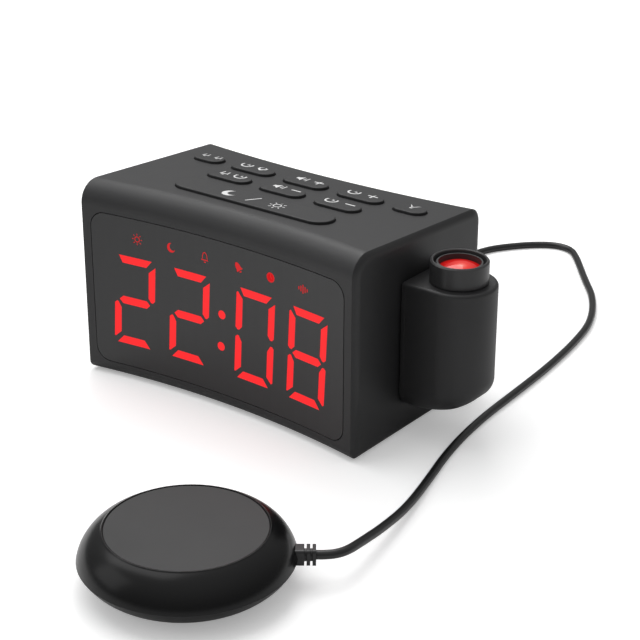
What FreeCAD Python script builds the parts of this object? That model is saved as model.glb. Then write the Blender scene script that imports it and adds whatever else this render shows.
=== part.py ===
import FreeCAD, Part
import math
import os

# Projection alarm clock with a loose vibrating pad on a cord.
# Millimetres. The origin is on the table, midway between the clock's feet.
# The display faces -Y, the projector is on the +X side, and +Z is up.

os.makedirs("parts", exist_ok=True)

# Clearances
running_gap = 0.08
seat_gap = 0.15
moving_gap = 0.3

# Clock case
case_width = 162.0
case_depth = 99.3
case_front_height = 97.8
case_back_height = 92.3
front_hollow = 7.65
back_hollow = 5.85
wall = 2.4
front_wall = 4.4
top_front_radius = 10.2
top_back_radius = 7.0
bottom_edge_radius = 4.5
side_bevel = 1.7
side_round = 5.4
foot_diameter = 12.0
foot_height = 1.0
foot_seat_depth = 0.6
foot_inset_x = 16.0
foot_inset_y = 13.65

# Back cover
cover_side_margin = 6.25
cover_bottom = 6.25
cover_top = 83.75
cover_thickness = 2.4
cover_corner_radius = 4.0
case_screw_radius = 1.45
case_screw_length = 9.0
case_screw_head_radius = 2.8
case_screw_head_height = 1.2
case_screw_slot = 0.8
case_boss_radius = 3.8
case_boss_length = 11.0
case_boss_inset = 6.0
boss_web = 2.0

# Display window
lens_side_margin = 6.25
lens_bottom = 7.4
lens_top = 84.2
lens_corner_radius = 7.5
lens_thickness = 1.9
lens_ledge = 3.2
display_depth = 8.0
board_thickness = 1.6
board_margin = 3.0

# Digits
digit_height = 45.7
digit_width = 23.4
digit_bottom = 19.1
digit_pitch = 32.0
colon_space = 7.3
digit_shift = 0.65
segment_width = 3.9
segment_gap = 3.6
digit_slant = 2.4
colon_dot_radius = 2.0
colon_upper_z = 48.1
colon_lower_z = 32.0
segment_depth = 1.4
indicator_z = 74.4
indicator_pitch = 19.65
indicator_size = 4.6
led_length = 1.6
led_width = 1.0
led_height = 0.8

# Keys on the top
key_width = 10.0
key_length = 24.6
key_length_small = 16.8
key_rise = 1.3
key_travel = 0.6
key_flange = 1.2
key_flange_thickness = 1.2
key_stem_radius = 2.2
key_pitch = 32.2
key_outer_x = 60.0
key_rear_y = 21.3
key_front_y = 3.5
snooze_length = 90.0
snooze_width = 15.4
snooze_y = -17.9
key_edge_radius = 0.4
key_board_depth = 12.0
key_board_side_gap = 5.0
key_board_end_gap = 0.4
key_post_radius = 2.6
key_post_inset = 8.5
key_post_edge = 3.0
switch_size = 6.0
switch_body_height = 3.5
plunger_radius = 1.75
plunger_height = 0.8

# Loudspeaker
speaker_x = -36.0
speaker_z = 63.0
speaker_radius = 18.0
speaker_depth = 12.0
speaker_flange_width = 3.0
speaker_flange_thickness = 1.2
speaker_skin = 1.0
cone_throat_radius = 3.0
cone_depth = 6.0
cone_thickness = 0.5
cone_roll = 2.0
cone_cap_rise = 1.4
magnet_radius = 10.0
magnet_height = 6.0
slot_count = 7
slot_width = 1.8
slot_pitch = 4.2
slot_end_radius = 0.85
vent_height = 16.8
vent_pitch = 8.4

# Battery bay
bay_inset = 37.75
bay_z = 23.5
cell_radius = 5.2
cell_length = 43.5
cell_spacing = 11.2
tray_wall = 1.2
tray_depth = 14.0
cell_edge = 0.5
cell_tip_radius = 1.9
cell_tip_length = 0.9
tray_rib_height = 3.1
tray_rib_thickness = 0.6
contact_space = 3.0
contact_thickness = 0.4
contact_width = 7.3
contact_base_radius = 2.8
contact_end_radius = 1.7
door_overlap = 3.0
door_thickness = 1.3
grip_radius = 4.0
grip_depth = 0.6
grip_width = 1.3
grip_pitch = 2.4
grip_count = 5

# Sockets and switch on the back
socket_z = 17.0
shaker_socket_x = 12.0
dc_socket_x = 36.0
usb_socket_inset = 18.25
socket_depth = 14.0
jack_collar_radius = 4.0
jack_collar_length = 2.0
jack_bore_radius = 1.8
dc_bore_radius = 2.9
dc_pin_radius = 1.0
usb_width = 13.1
usb_height = 5.7
usb_skin = 0.4
usb_tongue = 1.85
socket_floor = 1.0
socket_pin_inset = 1.0
switch_x = 36.0
switch_z = 35.0
knob_length = 4.0
knob_height = 3.0
knob_rise = 1.6
knob_travel = 2.4
knob_depth = 4.0
knob_groove = 0.5
knob_groove_pitch = 1.2
main_board_bottom = 3.7
main_board_top = 44.0
main_board_margin = 1.0

# Projector arm
pivot_y = 1.6
pivot_z = 45.5
arm_gap = 0.8
arm_length = 36.7
arm_radius = 17.4
arm_bottom = 14.2
arm_top = 76.0
arm_curve_length = 34.0
arm_curve_rise = 17.6
arm_edge_radius = 10.0
arm_rim_radius = 1.6
arm_inner_rim_radius = 0.4
arm_wall = 2.0
arm_cover_thickness = 2.0
arm_lip_wall = 1.2
arm_lip_height = 1.5
arm_screw_radius = 1.1
arm_screw_length = 6.0
arm_screw_head_radius = 2.2
arm_screw_head_height = 1.0
arm_screw_slot = 0.6
arm_screw_spread = 20.0
arm_boss_radius = 3.0
arm_boss_length = 5.0
arm_boss_web = 1.6
pivot_radius = 7.0
pivot_bore_radius = 4.8
pivot_end_room = 1.5
bush_radius = 9.0
bush_flange_radius = 12.0
bush_flange_thickness = 2.0
clip_radius = 9.6
clip_thickness = 0.8
clip_groove_depth = 0.8
clip_mouth = 8.4
washer_thickness = 0.4
washer_width = 3.8
washer_space = 2.0

# Projector optics
ring_outer_radius = 13.1
ring_inner_radius = 11.6
ring_height = 10.1
ring_bevel = 0.7
neck_height = 7.0
barrel_radius = 10.6
barrel_wall = 1.1
barrel_rise = 9.2
barrel_drop = 18.0
barrel_bevel = 0.4
focus_travel = 0.9
lens_seat_rise = 3.4
lens_seat_width = 1.0
lens_edge = 1.4
lens_dome = 4.2
lamp_tube_radius = 10.0
lamp_tube_wall = 1.2
lamp_tube_rise = 12.2
lamp_tube_gap = 0.7
lamp_ledge_height = 1.0
lamp_fin_thickness = 2.0
lamp_fin_height = 16.0
condenser_rise = 7.6
condenser_dome = 3.4
slide_rise = 17.6
slide_thickness = 1.0
lamp_radius = 1.8

# Vibrating pad
pad_x = 85.5
pad_y = -164.0
pad_radius = 43.0
pad_height = 24.0
pad_widest_z = 11.5
pad_disc_radius = 32.2
pad_disc_thickness = 1.2
pad_disc_edge = 0.3
pad_rim_width = 0.9
pad_rim_rise = 0.2
pad_wall = 2.0
pad_upper_bulge = 1.85
pad_lower_bulge = 2.3
pad_base_radius = 27.0
pad_lip_wall = 1.4
pad_lip_height = 1.6
pad_lip_taper = 0.65
pad_foot_height = 0.8
pad_foot_outer = 25.6
pad_foot_inner = 19.6
pad_screw_ring = 22.6
pad_screw_radius = 1.2
pad_screw_length = 10.0
pad_screw_head_radius = 2.2
pad_screw_head_height = 1.4
pad_screw_slot = 0.6
pad_boss_radius = 2.8
pad_post_radius = 3.6
pad_post_top = 5.4
motor_radius = 8.0
motor_length = 22.0
motor_x = -17.0
motor_z = 11.8
motor_edge = 0.8
motor_nose_radius = 3.0
motor_nose_length = 1.2
motor_shaft_radius = 1.0
cradle_width = 3.0
cradle_margin = 2.0
weight_radius = 7.8
weight_length = 8.0
weight_hub_radius = 2.6
weight_cut_rise = 1.8
clamp_thickness = 0.6
clamp_width = 8.0
clamp_foot = 5.0

# Strain-relief boot on the pad
boot_angle = 37.35
boot_size = 6.8
boot_corner = 1.2
boot_seat = 1.4
boot_block = 2.3
boot_rib = 1.4
boot_rib_gap = 0.9
boot_rib_count = 2
boot_core_radius = 2.5
boot_flange_radius = 4.1
boot_flange_thickness = 1.2

# Cord, with its route chosen by hand from the pad to the clock's back
cord_radius = 1.9
bend_share = 0.45
cord_route = [
    (129.06, -130.75, 11.5),
    (131.6, -126.8, 11.4),
    (132.6, -122.1, 11.1),
    (131.6, -112.8, 9.7),
    (129.4, -96.0, 7.0),
    (124.8, -72.0, 3.6),
    (117.8, -47.0, 1.9),
    (108.6, -14.0, 1.9),
    (103.6, 20.0, 1.9),
    (101.8, 54.0, 1.9),
    (99.6, 88.0, 1.9),
    (95.6, 120.0, 1.9),
    (89.5, 149.0, 1.9),
    (74.5, 178.5, 1.9),
    (58.0, 198.5, 1.9),
    (43.5, 217.5, 1.9),
    (37.0, 225.7, 1.9),
    (29.5, 233.6, 1.9),
    (19.5, 235.0, 1.9),
    (9.5, 229.0, 1.9),
    (-1.0, 217.5, 1.9),
    (-10.0, 203.0, 1.9),
    (-13.5, 180.0, 1.9),
    (-8.0, 156.0, 1.9),
    (2.0, 132.0, 5.5),
    (12.0, 102.0, 17.0),
]
plug_radius = 4.2
plug_length = 15.0
plug_edge = 0.8
plug_boot_length = 12.0
plug_boot_step = 1.0
plug_boot_end_radius = 2.7
plug_pin_radius = 1.72
plug_pin_length = 11.0

V = FreeCAD.Vector
X = V(1, 0, 0)
Y = V(0, 1, 0)
Z = V(0, 0, 1)


# Helpers

def box(low, high):
    size = [high[i] - low[i] for i in range(3)]
    return Part.makeBox(size[0], size[1], size[2], V(*low))


def cylinder(radius, length, start, direction):
    return Part.makeCylinder(radius, length, V(*start), direction)


def tube(outer, inner, length, start, direction):
    return cylinder(outer, length, start, direction).cut(cylinder(inner, length, start, direction))


def rounded_face(width, height, radius):
    # A rounded rectangle in the XY plane, centred on the origin.
    a = width / 2 - radius
    b = height / 2 - radius
    diagonal = radius * math.sqrt(0.5)
    edges = []
    corners = [(a, b), (-a, b), (-a, -b), (a, -b)]
    signs = [(1, 1), (-1, 1), (-1, -1), (1, -1)]
    starts = [(a + radius, b), (-a, b + radius), (-a - radius, -b), (a, -b - radius)]
    ends = [(a, b + radius), (-a - radius, b), (-a, -b - radius), (a + radius, -b)]
    for i in range(4):
        middle = (corners[i][0] + signs[i][0] * diagonal, corners[i][1] + signs[i][1] * diagonal)
        arc = Part.Arc(V(*starts[i], 0), V(*middle, 0), V(*ends[i], 0))
        edges.append(arc.toShape())
        after = starts[(i + 1) % 4]
        if V(*ends[i], 0).distanceToPoint(V(*after, 0)) > 1e-6:
            edges.append(Part.LineSegment(V(*ends[i], 0), V(*after, 0)).toShape())
    return Part.Face(Part.Wire(edges))


def rounded_prism(width, height, radius, low, high):
    # Along Z, from low to high.
    prism = rounded_face(width, height, radius).extrude(V(0, 0, high - low))
    prism.translate(V(0, 0, low))
    return prism


def upright_prism(x0, x1, z0, z1, radius, y0, y1):
    # A rounded rectangle seen from the front, running along Y.
    prism = rounded_prism(x1 - x0, z1 - z0, radius, 0.0, y1 - y0)
    prism.rotate(V(0, 0, 0), X, 90)
    prism.translate(V((x0 + x1) / 2, y1, (z0 + z1) / 2))
    return prism


def turned(points, centre, axis):
    # A ring or disc turned about an axis. points are (radius, height) or arcs of three points.
    side = X if abs(axis.x) < 0.5 else Z
    place = lambda p: V(*centre) + side * p[0] + axis * p[1]
    edges = []
    last = None
    first = None
    for item in points:
        if isinstance(item, list):
            arc = Part.Arc(place(last), place(item[0]), place(item[1]))
            edges.append(arc.toShape())
            last = item[1]
        else:
            if last is None:
                first = item
            else:
                edges.append(Part.LineSegment(place(last), place(item)).toShape())
            last = item
    edges.append(Part.LineSegment(place(last), place(first)).toShape())
    return Part.Face(Part.Wire(edges)).revolve(V(*centre), axis, 360)


def long_edges(shape, front, low, least_length):
    # The long edges across the case: front or back, low or high.
    middle = shape.BoundBox.Center
    found = []
    for edge in shape.Edges:
        span = edge.BoundBox
        if span.XLength < least_length:
            continue
        if (span.Center.y < middle.y) == front and (span.Center.z < middle.z) == low:
            found.append(edge)
    return found


def joined(shapes):
    return shapes[0].multiFuse(shapes[1:]) if len(shapes) > 1 else shapes[0]


def save(name, shape):
    shape = shape.removeSplitter() if len(shape.Solids) == 1 else shape
    volume = sum(solid.Volume for solid in shape.Solids)
    if not shape.isValid() or volume <= 0:
        raise ValueError("bad shape: " + name)
    shape.exportStep("parts/" + name + ".step")
    print(name, len(shape.Solids), "solids", round(volume, 1), "mm3")


# Curved front and back of the case

half_width = case_width / 2
front_y = -case_depth / 2
back_y = case_depth / 2
front_curve = (half_width ** 2 + front_hollow ** 2) / (2 * front_hollow)
back_curve = (half_width ** 2 + back_hollow ** 2) / (2 * back_hollow)
front_axis_y = front_y + front_hollow - front_curve
back_axis_y = back_y - back_hollow + back_curve
top_slope = math.atan2(case_front_height - case_back_height, case_depth)
top_middle_z = (case_front_height + case_back_height) / 2
top_place = FreeCAD.Placement(V(0, 0, top_middle_z), FreeCAD.Rotation(X, -math.degrees(top_slope)))
reach = case_depth + case_front_height
cover_width = case_width - 2 * cover_side_margin
cover_face_y = back_y - back_hollow
cover_inner_y = cover_face_y - cover_thickness
lens_width = case_width - 2 * lens_side_margin
reflector_back_y = front_y + front_hollow + display_depth
key_board_width = case_width - 2 * key_board_side_gap
key_board_length = 2 * (cover_inner_y - case_boss_length - key_board_end_gap)
key_post_x = half_width - key_post_inset
key_post_y = key_board_length / 2 - key_post_edge
bay_x = bay_inset - cover_width / 2
usb_socket_x = cover_width / 2 - usb_socket_inset
arm_end_x = half_width + arm_length


def on_top(shape):
    # From the sloping top's own frame, in which height 0 is its surface, to the clock's.
    moved = shape.copy()
    moved.Placement = top_place.multiply(moved.Placement)
    return moved


def front_y_at(x, depth):
    return front_axis_y + math.sqrt((front_curve + depth) ** 2 - x ** 2)


def back_y_at(x, depth):
    return back_axis_y - math.sqrt((back_curve + depth) ** 2 - x ** 2)


def front_slab(depth_0, depth_1):
    # The curved layer from depth_0 to depth_1 behind the hollow front.
    return tube(front_curve + depth_1, front_curve + depth_0, reach, (0, front_axis_y, -1), Z)


def case_form(side, front, back, low, top, front_radius, back_radius, low_radius):
    # The case's outer form drawn in by the given offsets.
    half = half_width - side
    left_front = V(-half, front_y_at(half, front), low)
    right_front = V(half, front_y_at(half, front), low)
    right_back = V(half, back_y_at(half, back), low)
    left_back = V(-half, back_y_at(half, back), low)
    outline = Part.Wire([
        Part.Arc(left_front, V(0, front_y_at(0, front), low), right_front).toShape(),
        Part.LineSegment(right_front, right_back).toShape(),
        Part.Arc(right_back, V(0, back_y_at(0, back), low), left_back).toShape(),
        Part.LineSegment(left_back, left_front).toShape(),
    ])
    form = Part.Face(outline).extrude(V(0, 0, reach))
    above = on_top(box((-case_width, -reach, -top), (case_width, reach, reach)))
    form = form.cut(above)
    form = form.makeFillet(front_radius, long_edges(form, True, False, half_width))
    form = form.makeFillet(back_radius, long_edges(form, False, False, half_width))
    low_edges = long_edges(form, True, True, half_width) + long_edges(form, False, True, half_width)
    return form.makeFillet(low_radius, low_edges)


def side_edges(shape):
    found = []
    for edge in shape.Edges:
        span = edge.BoundBox
        if span.XLength < 0.01 and abs(abs(span.Center.x) - half_width) < 0.01:
            found.append(edge)
    return found


# Case shell: hollow, with the window, the keys' holes and the back open

window_inset = lens_ledge
key_xs = {
    "key_rear_1": (-key_outer_x, key_rear_y, key_length_small),
    "key_rear_2": (-key_pitch, key_rear_y, key_length),
    "key_rear_3": (0.0, key_rear_y, key_length),
    "key_rear_4": (key_pitch, key_rear_y, key_length),
    "key_rear_5": (key_outer_x, key_rear_y, key_length_small),
    "key_front_1": (-key_pitch, key_front_y, key_length),
    "key_front_2": (0.0, key_front_y, key_length),
    "key_front_3": (key_pitch, key_front_y, key_length),
}
pads = dict(key_xs)
pads["snooze_bar"] = (0.0, snooze_y, snooze_length)


def pad_width(name):
    return snooze_width if name == "snooze_bar" else key_width


def pill(name, grow, low, high):
    # A key's outline with rounded ends, grown all round, in the top's frame.
    x, y, length = pads[name]
    width = pad_width(name) + 2 * grow
    form = rounded_prism(length + 2 * grow, width, width / 2, low, high)
    form.translate(V(x, y, 0))
    return form


def lens_outline(inset, y0, y1):
    half = lens_width / 2 - inset
    radius = lens_corner_radius - min(inset, lens_corner_radius / 2)
    return upright_prism(-half, half, lens_bottom + inset, lens_top - inset, radius, y0, y1)


screw_points = []
for side in (-1, 1):
    for z in (cover_bottom + case_boss_inset, cover_top - case_boss_inset):
        screw_points.append((side * (cover_width / 2 - case_boss_inset), z))
foot_points = []
for sx in (-1, 1):
    for sy in (-1, 1):
        foot_points.append((sx * (half_width - foot_inset_x), sy * (case_depth / 2 - foot_inset_y)))


def make_case():
    form = case_form(0, 0, 0, foot_height, 0, top_front_radius, top_back_radius, bottom_edge_radius)
    form = form.makeChamfer(side_bevel, side_edges(form))
    form = form.makeFillet(side_round, side_edges(form))
    hollow = case_form(wall, front_wall, wall, foot_height + wall, wall,
                       top_front_radius - wall, top_back_radius - wall, bottom_edge_radius - wall)
    hollow = hollow.common(box((-reach, -reach, 0), (reach, cover_inner_y, reach)))
    shell = form.cut(hollow)
    half = cover_width / 2 + seat_gap
    shell = shell.cut(upright_prism(-half, half, cover_bottom - seat_gap, cover_top + seat_gap,
                                    cover_corner_radius + seat_gap, cover_inner_y - moving_gap, reach))
    recess = lens_outline(-seat_gap, -reach, 0).common(front_slab(-wall, lens_thickness + seat_gap))
    window = lens_outline(window_inset, -reach, 0).common(front_slab(0, 2 * front_wall))
    shell = shell.cut(recess).cut(window)
    for name in pads:
        shell = shell.cut(on_top(pill(name, moving_gap, -2 * wall, wall)))
    shell = shell.cut(cylinder(bush_radius + running_gap, 2 * wall,
                               (half_width - 1.5 * wall, pivot_y, pivot_z), X))
    for x, y in foot_points:
        shell = shell.cut(cylinder(foot_diameter / 2 + seat_gap, foot_seat_depth + foot_height, (x, y, 0), Z))
    added = []
    for x, z in screw_points:
        boss = cylinder(case_boss_radius, case_boss_length, (x, cover_inner_y, z), -Y)
        outward = half_width - wall / 2
        x0, x1 = sorted((x, math.copysign(outward, x)))
        web = box((x0, cover_inner_y - case_boss_length, z - boss_web / 2),
                  (x1, cover_inner_y, z + boss_web / 2))
        added.append(boss.fuse(web))
    for sx in (-1, 1):
        for sy in (-1, 1):
            post = cylinder(key_post_radius, key_board_depth - wall / 2,
                            (sx * key_post_x, sy * key_post_y, -wall / 2), -Z)
            added.append(on_top(post))
    shell = joined([shell] + added)
    for x, z in screw_points:
        shell = shell.cut(cylinder(case_screw_radius + running_gap / 2, case_screw_length + moving_gap,
                                   (x, cover_inner_y, z), -Y))
    return shell


save("main_case", make_case())

# Back cover, its screws and the rubber feet

bay_half = cell_length / 2 + contact_space
bay_height = cell_spacing + 2 * cell_radius + 2 * moving_gap
bay_mouth_bottom = bay_z - bay_height / 2
bay_mouth_top = bay_z + bay_height / 2
door_half = bay_half + door_overlap
door_bottom = bay_mouth_bottom - door_overlap
door_top = bay_mouth_top + door_overlap
door_pin_y = cover_face_y - door_thickness / 2
door_pin_z = door_bottom + moving_gap + door_thickness / 2
door_pin_radius = door_thickness / 2 - seat_gap
speaker_opening = speaker_radius - speaker_flange_width


def screw_heads(grow, y):
    return [cylinder(case_screw_head_radius + grow, case_screw_head_height + grow, (x, y, z), -Y)
            for x, z in screw_points]


def make_cover():
    half = cover_width / 2
    plate = upright_prism(-half, half, cover_bottom, cover_top, cover_corner_radius,
                          cover_inner_y, cover_face_y)
    cuts = screw_heads(seat_gap, cover_face_y)
    for x, z in screw_points:
        cuts.append(cylinder(case_screw_radius + seat_gap, cover_thickness, (x, cover_face_y, z), -Y))
    for i in range(slot_count):
        offset = (i - (slot_count - 1) / 2) * slot_pitch
        half_slot = math.sqrt(speaker_opening ** 2 - offset ** 2)
        z = speaker_z + offset
        cuts.append(upright_prism(speaker_x - half_slot, speaker_x + half_slot, z - slot_width / 2,
                                  z + slot_width / 2, slot_end_radius, cover_inner_y, cover_face_y))
    cuts.append(box((bay_x - bay_half, cover_inner_y, bay_mouth_bottom),
                    (bay_x + bay_half, cover_face_y, bay_mouth_top)))
    cuts.append(box((bay_x - door_half, cover_face_y - door_thickness - seat_gap, door_bottom),
                    (bay_x + door_half, cover_face_y, door_top)))
    cuts.append(cylinder(door_pin_radius + running_gap, 2 * door_half + 4 * door_pin_radius,
                         (bay_x - door_half - 2 * door_pin_radius, door_pin_y, door_pin_z), X))
    cuts.append(cylinder(jack_collar_radius + seat_gap, cover_thickness,
                         (shaker_socket_x, cover_inner_y, socket_z), Y))
    cuts.append(cylinder(dc_bore_radius + wall / 4 + seat_gap, cover_thickness,
                         (dc_socket_x, cover_inner_y, socket_z), Y))
    half_x = usb_width / 2 + seat_gap
    half_z = usb_height / 2 + seat_gap
    cuts.append(box((usb_socket_x - half_x, cover_inner_y, socket_z - half_z),
                    (usb_socket_x + half_x, cover_face_y, socket_z + half_z)))
    half_slot = knob_length / 2 + knob_travel + moving_gap
    cuts.append(box((switch_x - half_slot, cover_inner_y, switch_z - knob_height / 2 - moving_gap),
                    (switch_x + half_slot, cover_face_y, switch_z + knob_height / 2 + moving_gap)))
    for i in range(slot_count):
        x = switch_x + (i - (slot_count - 1) / 2) * vent_pitch
        cuts.append(upright_prism(x - slot_width / 2, x + slot_width / 2, speaker_z - vent_height / 2,
                                  speaker_z + vent_height / 2, slot_end_radius, cover_inner_y, cover_face_y))
    plate = plate.cut(cuts)
    # A raised rim inside holds the loudspeaker's flange.
    rim = tube(speaker_radius + seat_gap + wall / 2, speaker_radius + seat_gap, wall,
               (speaker_x, cover_inner_y, speaker_z), -Y)
    return plate.fuse(rim)


def make_screws():
    screws = []
    for x, z in screw_points:
        head = cylinder(case_screw_head_radius, case_screw_head_height, (x, cover_face_y, z), -Y)
        shank_length = case_screw_length + cover_thickness
        shank = cylinder(case_screw_radius, shank_length, (x, cover_face_y, z), -Y)
        slot_y = cover_face_y - case_screw_head_height / 2
        slot = box((x - case_screw_head_radius, slot_y, z - case_screw_slot / 2),
                   (x + case_screw_head_radius, cover_face_y, z + case_screw_slot / 2))
        screws.append(head.fuse(shank).cut(slot))
    return Part.makeCompound(screws)


def make_feet():
    height = foot_height + foot_seat_depth - running_gap
    feet = []
    for x, y in foot_points:
        foot = cylinder(foot_diameter / 2, height, (x, y, 0), Z)
        rim = [edge for edge in foot.Edges if edge.BoundBox.ZMax < 0.01]
        feet.append(foot.makeChamfer(foot_height / 3, rim))
    return Part.makeCompound(feet)


save("back_cover", make_cover())
save("case_screws", make_screws())
save("rubber_feet", make_feet())


# Display: lens, reflector block, light bars and circuit board

reflector_front = lens_thickness + seat_gap
bar_front = reflector_front + running_gap
digit_top = digit_bottom + digit_height
digit_middle = (digit_bottom + digit_top) / 2
window_half = lens_width / 2 - window_inset
lit = {"two": "abged", "zero": "abcdef", "eight": "abcdefg"}
shown = ("two", "two", "zero", "eight")
digit_lefts = []
for i in range(4):
    left = digit_shift + (i - 2) * digit_pitch + (digit_pitch - digit_width) / 2
    digit_lefts.append(left + (colon_space / 2 if i > 1 else -colon_space / 2))


def slanted(x, z):
    return x + digit_slant * ((z - digit_bottom) / digit_height - 0.5)


def segment_points(left, name):
    # Corner points of one bar of a digit, mitred where it meets the next.
    w = segment_width
    g = segment_gap / 2
    right = left + digit_width
    top = digit_top
    middle = digit_middle
    low = digit_bottom
    half = w / 2
    shapes = {
        "a": [(left + g, top), (right - g, top), (right - w - g, top - w), (left + w + g, top - w)],
        "b": [(right, top - g), (right, middle + g), (right - half, middle + g),
              (right - w, middle + half + g), (right - w, top - w - g)],
        "c": [(right, middle - g), (right, low + g), (right - w, low + w + g),
              (right - w, middle - half - g), (right - half, middle - g)],
        "d": [(left + g, low), (left + w + g, low + w), (right - w - g, low + w), (right - g, low)],
        "e": [(left, middle - g), (left + half, middle - g), (left + w, middle - half - g),
              (left + w, low + w + g), (left, low + g)],
        "f": [(left, top - g), (left + w, top - w - g), (left + w, middle + half + g),
              (left + half, middle + g), (left, middle + g)],
        "g": [(left + half + g, middle), (left + w + g, middle + half), (right - w - g, middle + half),
              (right - half - g, middle), (right - w - g, middle - half), (left + w + g, middle - half)],
    }
    return [(slanted(x, z), z) for x, z in shapes[name]]


def bar_prism(points, y0, y1):
    corners = [V(x, y0, z) for x, z in points]
    corners.append(corners[0])
    return Part.Face(Part.makePolygon(corners)).extrude(V(0, y1 - y0, 0))


def all_bars(y0, y1):
    # Every light bar as a prism: lit ones first, then unlit ones.
    on = []
    off = []
    for left, digit in zip(digit_lefts, shown):
        for name in "abcdefg":
            prism = bar_prism(segment_points(left, name), y0, y1)
            (on if name in lit[digit] else off).append(prism)
    for z in (colon_upper_z, colon_lower_z):
        x = slanted(0.0, z)
        on.append(cylinder(colon_dot_radius, y1 - y0, (x, y0, z), Y))
    return on, off


def indicator_prisms(y0, y1):
    half = indicator_size / 2
    return [upright_prism(x - half, x + half, indicator_z - half, indicator_z + half, half / 2, y0, y1)
            for x in [(i - 2.5) * indicator_pitch for i in range(6)]]


def make_display():
    lens = lens_outline(0, -reach, 0).common(front_slab(0, lens_thickness))
    save("display_lens", lens)
    on, off = all_bars(-reach, reflector_back_y)
    windows = indicator_prisms(-reach, reflector_back_y)
    block = lens_outline(window_inset + seat_gap, -reach, reflector_back_y)
    block = block.cut(cylinder(front_curve + reflector_front, reach, (0, front_axis_y, -1), Z))
    block = block.cut(Part.makeCompound(on + off + windows))
    save("display_reflector", block)
    layer = front_slab(bar_front, bar_front + segment_depth)
    for name, prisms in (("segments_lit", on), ("segments_unlit", off), ("indicator_lights", windows)):
        save(name, Part.makeCompound([prism.common(layer) for prism in prisms]))
    half = window_half - board_margin
    board = box((-half, reflector_back_y, lens_bottom + window_inset + board_margin),
                (half, reflector_back_y + board_thickness, lens_top - window_inset - board_margin))
    save("display_board", board)
    chips = []
    for prism in on + off + windows:
        centre = prism.BoundBox.Center
        chips.append(box((centre.x - led_length / 2, reflector_back_y - led_height, centre.z - led_width / 2),
                         (centre.x + led_length / 2, reflector_back_y, centre.z + led_width / 2)))
    save("display_leds", Part.makeCompound(chips))


make_display()


# Snooze bar, keys, their board and switches

board_top = -key_board_depth
plunger_top = board_top + switch_body_height + plunger_height
stem_bottom = plunger_top + key_travel + moving_gap
flange_top = -wall - moving_gap


def make_key(name):
    cap = pill(name, 0, flange_top - key_flange_thickness / 2, key_rise)
    rim = [edge for edge in cap.Edges if edge.BoundBox.ZMin > key_rise - 0.01]
    cap = cap.makeFillet(key_edge_radius, rim)
    flange = pill(name, key_flange, flange_top - key_flange_thickness, flange_top)
    x, y, length = pads[name]
    stem = cylinder(key_stem_radius, flange_top - stem_bottom, (x, y, stem_bottom), Z)
    return on_top(cap.fuse(flange).fuse(stem))


def make_switches():
    switches = []
    for x, y, length in pads.values():
        half = switch_size / 2
        body = box((x - half, y - half, board_top), (x + half, y + half, board_top + switch_body_height))
        switches.append(on_top(body.fuse(cylinder(plunger_radius, switch_body_height + plunger_height,
                                                  (x, y, board_top), Z))))
    return Part.makeCompound(switches)


for pad_name in pads:
    save(pad_name, make_key(pad_name))
save("tact_switches", make_switches())
save("key_board", on_top(box((-key_board_width / 2, -key_board_length / 2, board_top - board_thickness),
                             (key_board_width / 2, key_board_length / 2, board_top))))


# Loudspeaker behind the slots of the back cover

def make_speaker():
    centre = (speaker_x, cover_inner_y, speaker_z)
    mouth = speaker_opening
    flange = speaker_flange_thickness
    inner_depth = speaker_depth - speaker_skin
    pole = magnet_radius / 2
    frame = turned([(speaker_radius, 0), (speaker_radius, flange), (mouth + speaker_skin, flange),
                    (magnet_radius, speaker_depth), (pole, speaker_depth), (pole, inner_depth),
                    (magnet_radius - speaker_skin, inner_depth), (mouth, flange), (mouth, 0)], centre, -Y)
    save("speaker_frame", frame)
    edge = mouth - seat_gap - cone_thickness
    roll = edge - cone_roll
    throat = flange + cone_depth
    cap = throat - cone_cap_rise
    skin = cone_thickness
    cone = turned([(edge, flange), [(edge - cone_roll / 2, flange - skin), (roll, flange)],
                   (cone_throat_radius, throat), (0, cap), (0, cap + skin),
                   (cone_throat_radius, throat + skin), (roll, flange + skin),
                   (edge, flange + skin)], centre, -Y)
    save("speaker_cone", cone)
    start = (speaker_x, cover_inner_y - speaker_depth, speaker_z)
    save("speaker_magnet", cylinder(magnet_radius, magnet_height, start, -Y))


make_speaker()


# Battery bay with its door

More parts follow.
